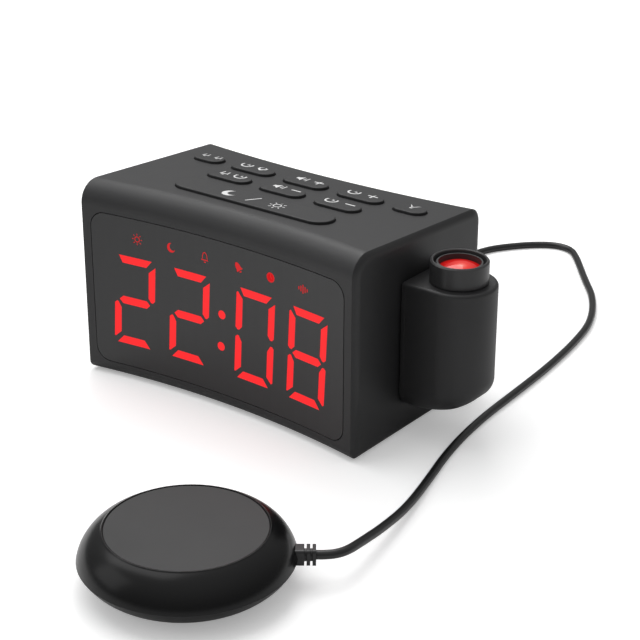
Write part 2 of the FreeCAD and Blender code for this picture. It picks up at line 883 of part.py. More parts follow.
def make_bay():
    low_x = bay_x - bay_half
    high_x = bay_x + bay_half
    tray_back_y = cover_inner_y - tray_depth
    floor_y = tray_back_y + tray_wall
    outer = box((low_x - tray_wall, tray_back_y, bay_mouth_bottom - tray_wall),
                (high_x + tray_wall, cover_inner_y, bay_mouth_top + tray_wall))
    inner = box((low_x, floor_y, bay_mouth_bottom), (high_x, cover_inner_y, bay_mouth_top))
    tray = outer.cut(inner)
    cell_y = floor_y + cell_radius + seat_gap
    rows = (bay_z - cell_spacing / 2, bay_z + cell_spacing / 2)
    rib = box((low_x, tray_back_y, bay_z - tray_rib_thickness / 2),
              (high_x, floor_y + tray_rib_height, bay_z + tray_rib_thickness / 2))
    save("battery_tray", tray.fuse(rib))
    cells = []
    contacts = []
    room = contact_space - contact_thickness - running_gap
    half = contact_width / 2
    for turn, z in zip((1, -1), rows):
        can = cylinder(cell_radius, cell_length - cell_tip_length, (-cell_length / 2, 0, 0), X)
        tip = cylinder(cell_tip_radius, cell_tip_length, (cell_length / 2 - cell_tip_length, 0, 0), X)
        cell = can.makeFillet(cell_edge, can.Edges).fuse(tip)
        if turn < 0:
            cell.rotate(V(0, 0, 0), Z, 180)
        cell.translate(V(bay_x, cell_y, z))
        cells.append(cell)
        for end in (-1, 1):
            outer_x = bay_x + end * bay_half
            inner_x = outer_x - end * contact_thickness
            plate = box((min(outer_x, inner_x), cell_y - half, z - half),
                        (max(outer_x, inner_x), cell_y + half, z + half))
            spring = Part.makeCone(contact_base_radius, contact_end_radius, room,
                                   V(inner_x, cell_y, z), X * (-end))
            contacts.append(plate.fuse(spring))
    save("batteries", Part.makeCompound(cells))
    save("battery_contacts", Part.makeCompound(contacts))


def make_door():
    half = door_half - moving_gap
    face = cover_face_y
    plate = box((bay_x - half, face - door_thickness, door_pin_z),
                (bay_x + half, face, door_top - moving_gap))
    knuckle = cylinder(door_thickness / 2, 2 * half, (bay_x - half, door_pin_y, door_pin_z), X)
    pin_half = door_half + 1.5 * door_pin_radius
    pin = cylinder(door_pin_radius, 2 * pin_half, (bay_x - pin_half, door_pin_y, door_pin_z), X)
    grips = []
    for i in range(grip_count):
        x = bay_x + (i - (grip_count - 1) / 2) * grip_pitch - grip_width / 2
        start = (x, face + grip_radius - grip_depth, door_top - grip_radius)
        grips.append(cylinder(grip_radius, grip_width, start, X))
    return plate.fuse([knuckle, pin]).cut(grips)


make_bay()
save("battery_door", make_door())


# Sockets and slide switch on the main board

board_back_y = cover_inner_y - socket_depth + cover_thickness


def make_sockets():
    x0 = shaker_socket_x - jack_collar_radius - 4 * main_board_margin
    x1 = usb_socket_x + usb_width / 2 + main_board_margin
    board = box((x0, board_back_y - board_thickness, main_board_bottom), (x1, board_back_y, main_board_top))
    save("main_board", board)
    half = jack_collar_radius + wall / 2
    z = socket_z
    body_end_y = cover_inner_y - running_gap
    body = box((shaker_socket_x - half, board_back_y, z - half), (shaker_socket_x + half, body_end_y, z + half))
    collar = cylinder(jack_collar_radius, cover_thickness + jack_collar_length + running_gap,
                      (shaker_socket_x, body_end_y, z), Y)
    bore = cylinder(jack_bore_radius, socket_depth + jack_collar_length,
                    (shaker_socket_x, cover_face_y + jack_collar_length, z), -Y)
    bore = bore.common(box((-reach, board_back_y + socket_floor, 0), (reach, reach, reach)))
    save("shaker_socket", body.fuse(collar).cut(bore))
    half = dc_bore_radius + wall / 2
    body = box((dc_socket_x - half, board_back_y, z - half), (dc_socket_x + half, body_end_y, z + half))
    collar = cylinder(dc_bore_radius + wall / 4, cover_thickness + running_gap, (dc_socket_x, body_end_y, z), Y)
    depth = cover_face_y - board_back_y - 2 * socket_floor
    bore = cylinder(dc_bore_radius, depth, (dc_socket_x, cover_face_y, z), -Y)
    pin_y = cover_face_y - socket_pin_inset
    pin = cylinder(dc_pin_radius, pin_y - board_back_y - socket_floor, (dc_socket_x, pin_y, z), -Y)
    save("dc_socket", body.fuse(collar).cut(bore).fuse(pin))
    half_x = usb_width / 2
    half_z = usb_height / 2
    shell = box((usb_socket_x - half_x, board_back_y, z - half_z),
                (usb_socket_x + half_x, cover_face_y, z + half_z))
    half_x -= usb_skin
    half_z -= usb_skin
    floor_y = board_back_y + 2 * socket_floor
    mouth = box((usb_socket_x - half_x, floor_y, z - half_z),
                (usb_socket_x + half_x, cover_face_y, z + half_z))
    half_x -= 2 * usb_skin
    half_z -= usb_skin
    tongue = box((usb_socket_x - half_x, floor_y, z + half_z - usb_tongue),
                 (usb_socket_x + half_x, cover_face_y - socket_pin_inset, z + half_z))
    save("usb_socket", shell.cut(mouth).fuse(tongue))


def make_switch():
    travel = knob_length / 2 + knob_travel + moving_gap
    outer = travel + socket_floor
    half = knob_height / 2
    body = box((switch_x - outer, board_back_y, switch_z - half - 1.5 * socket_floor),
               (switch_x + outer, cover_inner_y - running_gap, switch_z + half + 1.5 * socket_floor))
    way = box((switch_x - travel, cover_inner_y - knob_depth, switch_z - half - running_gap),
              (switch_x + travel, cover_inner_y, switch_z + half + running_gap))
    save("mode_switch_body", body.cut(way))
    knob_end = cover_face_y + knob_rise
    knob = box((switch_x - knob_length / 2, cover_inner_y - knob_depth + running_gap, switch_z - half),
               (switch_x + knob_length / 2, knob_end, switch_z + half))
    grooves = []
    for i in (-1, 0, 1):
        x = switch_x + i * knob_groove_pitch
        grooves.append(box((x - knob_groove / 2, knob_end - knob_groove, 0),
                           (x + knob_groove / 2, knob_end, reach)))
    save("mode_switch_knob", knob.cut(grooves))


make_sockets()
make_switch()


# Projector arm: a U-shaped pod that turns on a hollow pivot in the case's side

arm_start_x = half_width + arm_gap
arm_centre_x = arm_end_x - arm_radius
arm_axis = (arm_centre_x, pivot_y)
cover_end_x = arm_start_x + arm_cover_thickness
bush_x = half_width - wall
bush_end_x = bush_x - bush_flange_thickness
clip_x = bush_end_x - washer_space - clip_thickness
pivot_end_x = clip_x - pivot_end_room / 2
arm_screw_zs = (pivot_z - arm_screw_spread, pivot_z + arm_screw_spread)
ring_bottom = arm_top + moving_gap
ring_top = ring_bottom + ring_height
barrel_top = arm_top + barrel_rise
barrel_bottom = arm_top - barrel_drop
lens_seat_z = arm_top + lens_seat_rise
lamp_tube_bottom = arm_bottom + lamp_tube_rise
lamp_tube_top = barrel_bottom - focus_travel - lamp_tube_gap
condenser_z = lamp_tube_bottom + condenser_rise
slide_z = lamp_tube_bottom + slide_rise


def pod_form(inset, start_x, edge_radius, rim_radius):
    # The pod's outer form drawn in by inset: a U in plan with its lower end curved up outwards.
    radius = arm_radius - inset
    near = V(start_x, pivot_y - radius, 0)
    far = V(start_x, pivot_y + radius, 0)
    turn_near = V(arm_centre_x, pivot_y - radius, 0)
    turn_far = V(arm_centre_x, pivot_y + radius, 0)
    plan = Part.Wire([
        Part.LineSegment(near, turn_near).toShape(),
        Part.Arc(turn_near, V(arm_centre_x + radius, pivot_y, 0), turn_far).toShape(),
        Part.LineSegment(turn_far, far).toShape(),
        Part.LineSegment(far, near).toShape(),
    ])
    pod = Part.Face(plan).extrude(V(0, 0, arm_top - inset))
    low = arm_bottom + inset
    end = arm_end_x - inset
    flat_end = end - arm_curve_length
    curve_top = low + arm_curve_rise
    centre = V(flat_end, 0, curve_top)
    ellipse = Part.Ellipse(V(end, 0, curve_top), V(flat_end, 0, low), centre)
    below = Part.Wire([
        Part.Arc(ellipse, 0, math.pi / 2).toShape(),
        Part.LineSegment(V(flat_end, 0, low), V(0, 0, low)).toShape(),
        Part.LineSegment(V(0, 0, low), V(0, 0, -low)).toShape(),
        Part.LineSegment(V(0, 0, -low), V(2 * end, 0, -low)).toShape(),
        Part.LineSegment(V(2 * end, 0, -low), V(2 * end, 0, curve_top)).toShape(),
        Part.LineSegment(V(2 * end, 0, curve_top), V(end, 0, curve_top)).toShape(),
    ])
    waste = Part.Face(below).extrude(V(0, 4 * arm_radius, 0))
    waste.translate(V(0, pivot_y - 2 * arm_radius, 0))
    pod = pod.cut(waste)
    outward = [edge for edge in pod.Edges if edge.BoundBox.XMax > start_x + arm_gap]
    rim = [edge for edge in outward if edge.BoundBox.ZMin > pivot_z]
    pod = pod.makeFillet(rim_radius, rim)
    outward = [edge for edge in pod.Edges if edge.BoundBox.XMax > start_x + arm_gap]
    lower = [edge for edge in outward if edge.BoundBox.ZMax < pivot_z
             and abs(edge.BoundBox.Center.y - pivot_y) > radius / 3]
    return pod.makeFillet(edge_radius, lower)


def make_housing(outer):
    inner = pod_form(arm_wall, arm_start_x, arm_edge_radius - arm_wall, arm_inner_rim_radius)
    housing = outer.cut(box((0, -reach, 0), (cover_end_x, reach, reach))).cut(inner)
    neck = cylinder(ring_inner_radius - running_gap, neck_height + arm_wall, (*arm_axis, arm_top - arm_wall), Z)
    web_reach = arm_radius - arm_wall / 2
    bosses = []
    holes = []
    for z in arm_screw_zs:
        boss = cylinder(arm_boss_radius, arm_boss_length, (cover_end_x, pivot_y, z), X)
        web = box((cover_end_x + arm_boss_length / 2, pivot_y - web_reach, z - arm_boss_web / 2),
                  (cover_end_x + arm_boss_length, pivot_y + web_reach, z + arm_boss_web / 2))
        bosses.append(boss.fuse(web))
        start = (cover_end_x, pivot_y, z)
        holes.append(cylinder(arm_screw_radius + running_gap / 2, arm_boss_length, start, X))
    bore = cylinder(barrel_radius + running_gap, reach, (*arm_axis, arm_top - 2 * arm_wall), Z)
    return joined([housing, neck] + bosses).cut([bore] + holes)


def make_arm_cover(outer):
    # The flat inner wall of the pod, with the hollow pivot and a lip that centres the housing.
    plate = outer.common(box((0, -reach, 0), (cover_end_x, reach, reach)))
    pivot = cylinder(pivot_radius, cover_end_x - pivot_end_x, (pivot_end_x, pivot_y, pivot_z), X)
    lip_inset = arm_wall + seat_gap
    core_radius = arm_edge_radius - arm_wall - arm_lip_wall
    lip = pod_form(lip_inset, arm_start_x, arm_edge_radius - arm_wall, arm_inner_rim_radius)
    lip_core = pod_form(lip_inset + arm_lip_wall, arm_start_x - arm_gap, core_radius, arm_inner_rim_radius)
    layer = box((cover_end_x, -reach, 0), (cover_end_x + arm_lip_height, reach, reach))
    lip = lip.cut(lip_core).common(layer)
    cuts = [cylinder(pivot_bore_radius, 2 * (arm_start_x - pivot_end_x), (pivot_end_x, pivot_y, pivot_z), X)]
    cuts.append(tube(2 * pivot_radius, pivot_radius - clip_groove_depth, clip_thickness + 2 * running_gap,
                     (clip_x - running_gap, pivot_y, pivot_z), X))
    for z in arm_screw_zs:
        sunk = arm_cover_thickness / 2
        cuts.append(cylinder(arm_screw_head_radius + seat_gap, sunk, (arm_start_x, pivot_y, z), X))
        cuts.append(cylinder(arm_screw_radius + seat_gap, arm_cover_thickness, (arm_start_x, pivot_y, z), X))
    return joined([plate, lip, pivot]).cut(cuts)


def make_arm_screws():
    screws = []
    for z in arm_screw_zs:
        start = (arm_start_x + arm_cover_thickness / 2 - arm_screw_head_height, pivot_y, z)
        head = cylinder(arm_screw_head_radius, arm_screw_head_height, start, X)
        shank = cylinder(arm_screw_radius, arm_screw_length, start, X)
        slot_end_x = start[0] + arm_screw_head_height / 2
        slot = box((0, pivot_y - arm_screw_slot / 2, z - arm_screw_head_radius),
                   (slot_end_x, pivot_y + arm_screw_slot / 2, z + arm_screw_head_radius))
        screws.append(head.fuse(shank).cut(slot))
    return Part.makeCompound(screws)


def make_bush():
    length = half_width - bush_end_x
    body = cylinder(bush_radius, length, (bush_end_x, pivot_y, pivot_z), X)
    flange = cylinder(bush_flange_radius, bush_flange_thickness, (bush_end_x, pivot_y, pivot_z), X)
    bore = cylinder(pivot_radius + running_gap, length, (bush_end_x, pivot_y, pivot_z), X)
    return body.fuse(flange).cut(bore)


def make_clip():
    ring = tube(clip_radius, pivot_radius - clip_groove_depth + running_gap, clip_thickness,
                (clip_x, pivot_y, pivot_z), X)
    mouth = box((clip_x, pivot_y - clip_mouth / 2, 0), (bush_x, pivot_y + clip_mouth / 2, pivot_z))
    return ring.cut(mouth)


def make_washer():
    # A dished ring that presses the clip away from the bush.
    low = clip_thickness + running_gap
    high = clip_thickness + washer_space - running_gap
    inner = pivot_radius + 2 * running_gap
    outer = inner + washer_width
    profile = [(inner, low), (inner, low + washer_thickness), (outer, high), (outer, high - washer_thickness)]
    return turned(profile, (clip_x, pivot_y, pivot_z), X)


pod = pod_form(0, arm_start_x, arm_edge_radius, arm_rim_radius)
save("projector_housing", make_housing(pod))
save("projector_cover", make_arm_cover(pod))
save("projector_screws", make_arm_screws())
save("pivot_bush", make_bush())
save("pivot_clip", make_clip())
save("friction_washer", make_washer())


# Optics inside the pod, from the lamp below to the focus ring on top

optics_centre = (*arm_axis, 0.0)


def domed_disc(radius, low, edge, dome):
    # A lens with a flat underside, a short edge and a domed top.
    top = low + edge
    crown = (radius ** 2 + dome ** 2) / (2 * dome)
    middle = (radius / 2, top + dome - crown + math.sqrt(crown ** 2 - radius ** 2 / 4))
    return turned([(0, low), (radius, low), (radius, top), [middle, (0, top + dome)]], optics_centre, Z)


def make_optics():
    low = ring_bottom
    outer = ring_outer_radius
    inner = ring_inner_radius
    ring = turned([(inner, low), (outer, low), (outer, ring_top - ring_bevel), (outer - ring_bevel, ring_top),
                   (inner + ring_bevel / 2, ring_top), (inner, ring_top - ring_bevel / 2)], optics_centre, Z)
    save("focus_ring", ring)
    outer = barrel_radius
    inner = outer - barrel_wall
    seat = inner - lens_seat_width
    barrel = turned([(seat, barrel_bottom), (outer, barrel_bottom), (outer, barrel_top - barrel_bevel),
                     (outer - barrel_bevel, barrel_top), (inner, barrel_top), (inner, lens_seat_z),
                     (seat, lens_seat_z)], optics_centre, Z)
    save("lens_barrel", barrel)
    save("projection_lens", domed_disc(inner - running_gap, lens_seat_z, lens_edge, lens_dome))
    outer = lamp_tube_radius
    bore = outer - lamp_tube_wall
    parts = [tube(outer, bore, lamp_tube_top - lamp_tube_bottom, (*arm_axis, lamp_tube_bottom), Z)]
    for z in (condenser_z, slide_z):
        start = (*arm_axis, z - lamp_ledge_height)
        parts.append(tube(outer, bore - lens_seat_width, lamp_ledge_height, start, Z))
    fin_reach = arm_radius - arm_wall - seat_gap
    half = lamp_fin_thickness / 2
    fins = box((arm_centre_x - half, pivot_y - fin_reach, condenser_z),
               (arm_centre_x + half, pivot_y + fin_reach, condenser_z + lamp_fin_height))
    fins = fins.cut(cylinder(outer - lamp_tube_wall / 2, reach, (*arm_axis, 0), Z))
    save("lamp_tube", joined(parts + [fins]))
    fitted = bore - running_gap
    save("condenser_lens", domed_disc(fitted, condenser_z, lens_edge, condenser_dome))
    save("image_slide", cylinder(fitted, slide_thickness, (*arm_axis, slide_z), Z))
    start = (*arm_axis, lamp_tube_bottom - board_thickness)
    save("projector_board", cylinder(outer, board_thickness, start, Z))
    base_height = lamp_radius / 2
    base = cylinder(lamp_radius + lamp_tube_wall / 2, base_height, (*arm_axis, lamp_tube_bottom), Z)
    bulb = Part.makeSphere(lamp_radius, V(*arm_axis, lamp_tube_bottom + base_height), Z, 0, 90, 360)
    save("projector_led", base.fuse(bulb))


make_optics()


# Vibrating pad

def on_pad(shape):
    # From the pad's own frame, in which +X points out along the cord, to the clock's.
    moved = shape.copy()
    moved.rotate(V(0, 0, 0), Z, boot_angle)
    moved.translate(V(pad_x, pad_y, 0))
    return moved


def bulged(start, end, amount):
    # An arc from start to end whose middle stands off the chord by amount.
    across = end[0] - start[0]
    rise = end[1] - start[1]
    chord = math.hypot(across, rise)
    middle = ((start[0] + end[0]) / 2 + rise / chord * amount,
              (start[1] + end[1]) / 2 - across / chord * amount)
    return [middle, end]


pad_floor = pad_foot_height + pad_wall
disc_seat = pad_height - pad_disc_thickness
inner_radius = pad_radius - pad_wall
pad_middle = (0.0, 0.0, 0.0)
pad_screw_points = []
for corner in range(4):
    screw_angle = math.radians(45 + 90 * corner)
    pad_screw_points.append((pad_screw_ring * math.cos(screw_angle), pad_screw_ring * math.sin(screw_angle)))


def boot_plate(grow, start, length):
    size = boot_size + 2 * grow
    plate = rounded_prism(size, size, boot_corner + grow, 0, length)
    plate.rotate(V(0, 0, 0), Y, 90)
    plate.translate(V(start, 0, pad_widest_z))
    return plate


def boot_room():
    # The openings that both shells leave for the boot.
    z = pad_widest_z
    room = [boot_plate(seat_gap, pad_radius - boot_seat - seat_gap, boot_size)]
    room.append(cylinder(boot_core_radius + seat_gap, boot_size, (pad_radius - boot_size, 0, z), X))
    flange_x = inner_radius - pad_lip_wall - boot_flange_thickness
    room.append(cylinder(boot_flange_radius + seat_gap, boot_flange_thickness + 2 * seat_gap,
                         (flange_x - seat_gap, 0, z), X))
    return room


def make_top_shell():
    rim = pad_disc_radius + seat_gap
    rim_top = pad_height + pad_rim_rise
    shoulder = (rim + pad_rim_width, pad_height - pad_rim_rise)
    ceiling = disc_seat - pad_wall
    inner_shoulder = (shoulder[0] - pad_wall, ceiling)
    edge = (pad_radius, pad_widest_z)
    shell = turned([(0, disc_seat), (rim, disc_seat), (rim, rim_top), (rim + pad_rim_width / 2, rim_top),
                    shoulder, bulged(shoulder, edge, -pad_upper_bulge), (inner_radius, pad_widest_z),
                    bulged((inner_radius, pad_widest_z), inner_shoulder, pad_upper_bulge), (0, ceiling)],
                   pad_middle, Z)
    low = pad_post_top + seat_gap
    bosses = []
    holes = []
    for x, y in pad_screw_points:
        bosses.append(cylinder(pad_boss_radius, ceiling + pad_wall / 2 - low, (x, y, low), Z))
        holes.append(cylinder(pad_screw_radius + running_gap / 2, pad_screw_length, (x, y, low), Z))
    return joined([shell] + bosses).cut(boot_room() + holes)


def make_bottom_shell():
    edge = (pad_radius, pad_widest_z)
    base = (pad_base_radius, pad_foot_height)
    inner_base = (pad_base_radius - pad_wall, pad_floor)
    shell = turned([(0, pad_foot_height), base, bulged(base, edge, pad_lower_bulge),
                    (inner_radius, pad_widest_z),
                    bulged((inner_radius, pad_widest_z), inner_base, -pad_lower_bulge), (0, pad_floor)],
                   pad_middle, Z)
    lip_outer = inner_radius - seat_gap
    lip_inner = lip_outer - pad_lip_wall
    lip_top = pad_widest_z + pad_lip_height
    lip_root = pad_widest_z - pad_lip_height
    lip = turned([(lip_inner, lip_top), (lip_outer - pad_lip_taper, lip_top), (lip_outer, pad_widest_z),
                  (inner_radius + pad_wall / 4, lip_root), (lip_inner, lip_root)], pad_middle, Z)
    added = [lip]
    cuts = boot_room()
    for x, y in pad_screw_points:
        added.append(cylinder(pad_post_radius, pad_post_top - pad_foot_height, (x, y, pad_foot_height), Z))
        head_depth = pad_foot_height + pad_screw_head_height
        cuts.append(cylinder(pad_screw_head_radius + seat_gap, head_depth, (x, y, pad_foot_height), Z))
        cuts.append(cylinder(pad_screw_radius + seat_gap, pad_post_top, (x, y, pad_foot_height), Z))
    bed = cylinder(motor_radius + running_gap, 2 * motor_length, (motor_x - motor_length / 2, 0, motor_z), X)
    half = motor_radius + cradle_margin
    for x in (motor_x + cradle_width, motor_x + motor_length - 2 * cradle_width):
        saddle = box((x, -half, pad_floor - pad_wall / 2), (x + cradle_width, half, motor_z))
        added.append(saddle.cut(bed))
    cuts.append(tube(pad_foot_outer + seat_gap, pad_foot_inner - seat_gap, pad_foot_height,
                     (0, 0, pad_foot_height), Z))
    return joined([shell] + added).cut(cuts)


def make_pad_screws():
    screws = []
    low = 2 * pad_foot_height
    for x, y in pad_screw_points:
        head = cylinder(pad_screw_head_radius, pad_screw_head_height, (x, y, low), Z)
        shank = cylinder(pad_screw_radius, pad_screw_length, (x, y, low), Z)
        slot = box((x - pad_screw_head_radius, y - pad_screw_slot / 2, low),
                   (x + pad_screw_head_radius, y + pad_screw_slot / 2, low + pad_screw_head_height / 2))
        screws.append(head.fuse(shank).cut(slot))
    return Part.makeCompound(screws)


def make_motor():
    can = cylinder(motor_radius, motor_length, (motor_x, 0, motor_z), X)
    can = can.makeFillet(motor_edge, can.Edges)
    end = motor_x + motor_length
    nose = cylinder(motor_nose_radius, motor_nose_length, (end, 0, motor_z), X)
    shaft = cylinder(motor_shaft_radius, motor_nose_length + moving_gap + weight_length, (end, 0, motor_z), X)
    return joined([can, nose, shaft])


def make_weight():
    # A half disc of metal on the motor's shaft.
    start = motor_x + motor_length + motor_nose_length + moving_gap
    disc = cylinder(weight_radius, weight_length, (start, 0, motor_z), X)
    upper = box((start, -reach, motor_z + weight_cut_rise), (start + weight_length, reach, reach))
    hub = cylinder(weight_hub_radius, weight_length, (start, 0, motor_z), X)
    bore = cylinder(motor_shaft_radius + running_gap / 2, weight_length, (start, 0, motor_z), X)
    return disc.cut(upper).fuse(hub).cut(bore)


def make_clamp():
    x0 = motor_x + motor_length / 2 - clamp_width / 2
    x1 = x0 + clamp_width
    inner = motor_radius + running_gap
    outer = inner + clamp_thickness
    upper = box((x0, -reach, motor_z), (x1, reach, reach))
    strap = tube(outer, inner, clamp_width, (x0, 0, motor_z), X).common(upper)
    parts = [strap]
    for side in (-1, 1):
        y0, y1 = sorted((side * inner, side * outer))
        parts.append(box((x0, y0, pad_floor), (x1, y1, motor_z)))
        y0, y1 = sorted((side * inner, side * (inner + clamp_foot)))
        parts.append(box((x0, y0, pad_floor), (x1, y1, pad_floor + clamp_thickness)))
    return joined(parts)


def make_boot():
    flange_x = inner_radius - pad_lip_wall - boot_flange_thickness
    start = pad_radius - boot_seat
    block_end = pad_radius + boot_block
    rib_step = boot_rib_gap + boot_rib
    end = block_end + boot_rib_count * rib_step
    parts = [cylinder(boot_core_radius, end - flange_x, (flange_x, 0, pad_widest_z), X)]
    parts.append(cylinder(boot_flange_radius, boot_flange_thickness, (flange_x, 0, pad_widest_z), X))
    parts.append(boot_plate(0, start, block_end - start))
    for i in range(boot_rib_count):
        parts.append(boot_plate(0, block_end + boot_rib_gap + i * rib_step, boot_rib))
    return joined(parts), end


def make_base_ring():
    return tube(pad_foot_outer, pad_foot_inner, 2 * pad_foot_height - running_gap, pad_middle, Z)


def make_disc():
    disc = cylinder(pad_disc_radius, pad_disc_thickness, (0, 0, disc_seat), Z)
    return disc.makeFillet(pad_disc_edge, [edge for edge in disc.Edges if edge.BoundBox.ZMin > disc_seat])


boot, boot_end = make_boot()
save("pad_top_shell", on_pad(make_top_shell()))
save("pad_bottom_shell", on_pad(make_bottom_shell()))
save("pad_top_disc", on_pad(make_disc()))
save("pad_base_ring", on_pad(make_base_ring()))
save("pad_screws", on_pad(make_pad_screws()))
save("pad_boot", on_pad(boot))
save("vibration_motor", on_pad(make_motor()))
save("eccentric_weight", on_pad(make_weight()))
save("motor_clamp", on_pad(make_clamp()))


# Cord from the pad's boot to the plug, as straight runs joined by tangent arcs

plug_y = cover_face_y + jack_collar_length
cord_end_y = plug_y + plug_length + plug_boot_length


def unit(vector):
    return vector * (1.0 / vector.Length)


def make_cord():
    angle = math.radians(boot_angle)
    start = V(pad_x + boot_end * math.cos(angle), pad_y + boot_end * math.sin(angle), pad_widest_z)
    points = [start] + [V(*point) for point in cord_route] + [V(shaker_socket_x, cord_end_y, socket_z)]
    edges = []
    radii = []
    length = 0.0
    last = start
    for before, corner, after in zip(points, points[1:], points[2:]):
        arriving = unit(corner - before)
        leaving = unit(after - corner)
        turn = arriving.getAngle(leaving)
        setback = bend_share * min((corner - before).Length, (after - corner).Length)
        radius = setback / math.tan(turn / 2)
        radii.append(round(radius, 1))
        inward = unit(leaving - arriving)
        arc_start = corner - arriving * setback
        arc_end = corner + leaving * setback
        arc_middle = corner + inward * (radius / math.cos(turn / 2) - radius)
        edges.append(Part.LineSegment(last, arc_start).toShape())
        edges.append(Part.Arc(arc_start, arc_middle, arc_end).toShape())
        length += (arc_start - last).Length + radius * turn
        last = arc_end
    edges.append(Part.LineSegment(last, points[-1]).toShape())
    length += (points[-1] - last).Length
    section = Part.Wire(Part.makeCircle(cord_radius, start, unit(points[1] - start)))
    cord = Part.Wire(edges).makePipeShell([section], True, False)
    print("cord length", round(length, 1), "mm, bend radii", radii)
    print("least bend radius", min(radii), "mm for a diameter of", 2 * cord_radius)
    print("volume over section times length", round(cord.Volume / (math.pi * cord_radius ** 2 * length), 4))
    save("shaker_cord", cord)


def make_plug():
    body = cylinder(plug_radius, plug_length, (shaker_socket_x, plug_y, socket_z), Y)
    far = plug_y + plug_length
    body = body.makeFillet(plug_edge, [edge for edge in body.Edges if edge.BoundBox.YMin > plug_y])
    boot = Part.makeCone(plug_radius - plug_boot_step, plug_boot_end_radius, plug_boot_length,
                         V(shaker_socket_x, far, socket_z), Y)
    pin = cylinder(plug_pin_radius, plug_pin_length, (shaker_socket_x, plug_y, socket_z), -Y)
    return joined([body, boot, pin])


make_cord()
save("shaker_plug", make_plug())
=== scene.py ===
import math

import bmesh
import bpy
from mathutils import Matrix, Vector


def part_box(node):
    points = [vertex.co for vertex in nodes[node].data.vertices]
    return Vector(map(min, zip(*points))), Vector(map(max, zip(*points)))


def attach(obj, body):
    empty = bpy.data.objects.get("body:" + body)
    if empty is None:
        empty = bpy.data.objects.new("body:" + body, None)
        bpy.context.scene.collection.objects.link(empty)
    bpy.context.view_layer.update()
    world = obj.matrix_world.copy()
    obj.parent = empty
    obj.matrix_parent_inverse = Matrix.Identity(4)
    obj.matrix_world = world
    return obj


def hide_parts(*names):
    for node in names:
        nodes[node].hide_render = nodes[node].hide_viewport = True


bl_info = {
    "name": "Projection Alarm Clock",
    "version": (1, 0, 0),
    "blender": (4, 5, 0),
    "location": "View3D > Sidebar > Alarm Clock",
    "description": "Builds and finishes a projection alarm clock with its vibrating pad",
    "category": "Object",
}

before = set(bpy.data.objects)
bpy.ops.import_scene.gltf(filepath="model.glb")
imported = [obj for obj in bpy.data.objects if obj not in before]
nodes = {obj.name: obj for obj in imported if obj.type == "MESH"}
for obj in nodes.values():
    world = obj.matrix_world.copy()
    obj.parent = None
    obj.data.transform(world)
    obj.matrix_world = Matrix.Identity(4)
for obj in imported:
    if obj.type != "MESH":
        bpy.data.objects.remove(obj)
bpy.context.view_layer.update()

MM = 0.001

# The case, in millimetres: slope and height of its top, and the hollow curve of its front
SLOPE = math.atan2(5.5, 99.3)
TOP_MIDDLE = 95.05
HALF_WIDTH = 81.0
FRONT_MIDDLE_Y = -42.0
FRONT_SAG = 7.65
FRONT_CURVE = (HALF_WIDTH ** 2 + FRONT_SAG ** 2) / (2 * FRONT_SAG)

# Marks on the keys and indicators on the display
KEY_TOP = 1.3
MARK_SCALE = 1.5
# A mark's faces are matched to its key after this shift across the top
MARK_SHIFT = 5.2
MARK_SINK = 0.02
INDICATOR_SCALE = 1.25
INDICATOR_HEIGHT = 74.4
INDICATOR_PLACES = (-48.6, -28.9, -9.2, 10.6, 30.1, 49.7)

# Depths behind the front, in millimetres: face and back of the lit bars, and reach of their openings
BAR_FACE = 0.03
BAR_BACK = 3.4
CUT_FRONT = -3.0
CUT_BACK = 6.0

# The cord's route from the pad's boot to the plug behind the clock
CORD_ROUTE = [
    (125.168, -133.727, 11.5),
    (129.06, -130.75, 11.5),
    (131.6, -126.8, 11.4),
    (132.6, -122.1, 11.1),
    (131.6, -112.8, 9.7),
    (129.4, -96.0, 7.0),
    (124.8, -72.0, 3.6),
    (117.8, -47.0, 1.9),
    (108.6, -14.0, 1.9),
    (103.6, 20.0, 1.9),
    (101.8, 54.0, 1.9),
    (99.6, 88.0, 1.9),
    (95.6, 120.0, 1.9),
    (89.5, 149.0, 1.9),
    (74.5, 178.5, 1.9),
    (58.0, 198.5, 1.9),
    (43.5, 217.5, 1.9),
    (37.0, 225.7, 1.9),
    (29.5, 233.6, 1.9),
    (19.5, 235.0, 1.9),
    (9.5, 229.0, 1.9),
    (-1.0, 217.5, 1.9),
    (-10.0, 203.0, 1.9),
    (-13.5, 180.0, 1.9),
    (-8.0, 156.0, 1.9),
    (2.0, 132.0, 5.5),
    (12.0, 102.0, 17.0),
    (12.0, 72.8, 17.0),
]


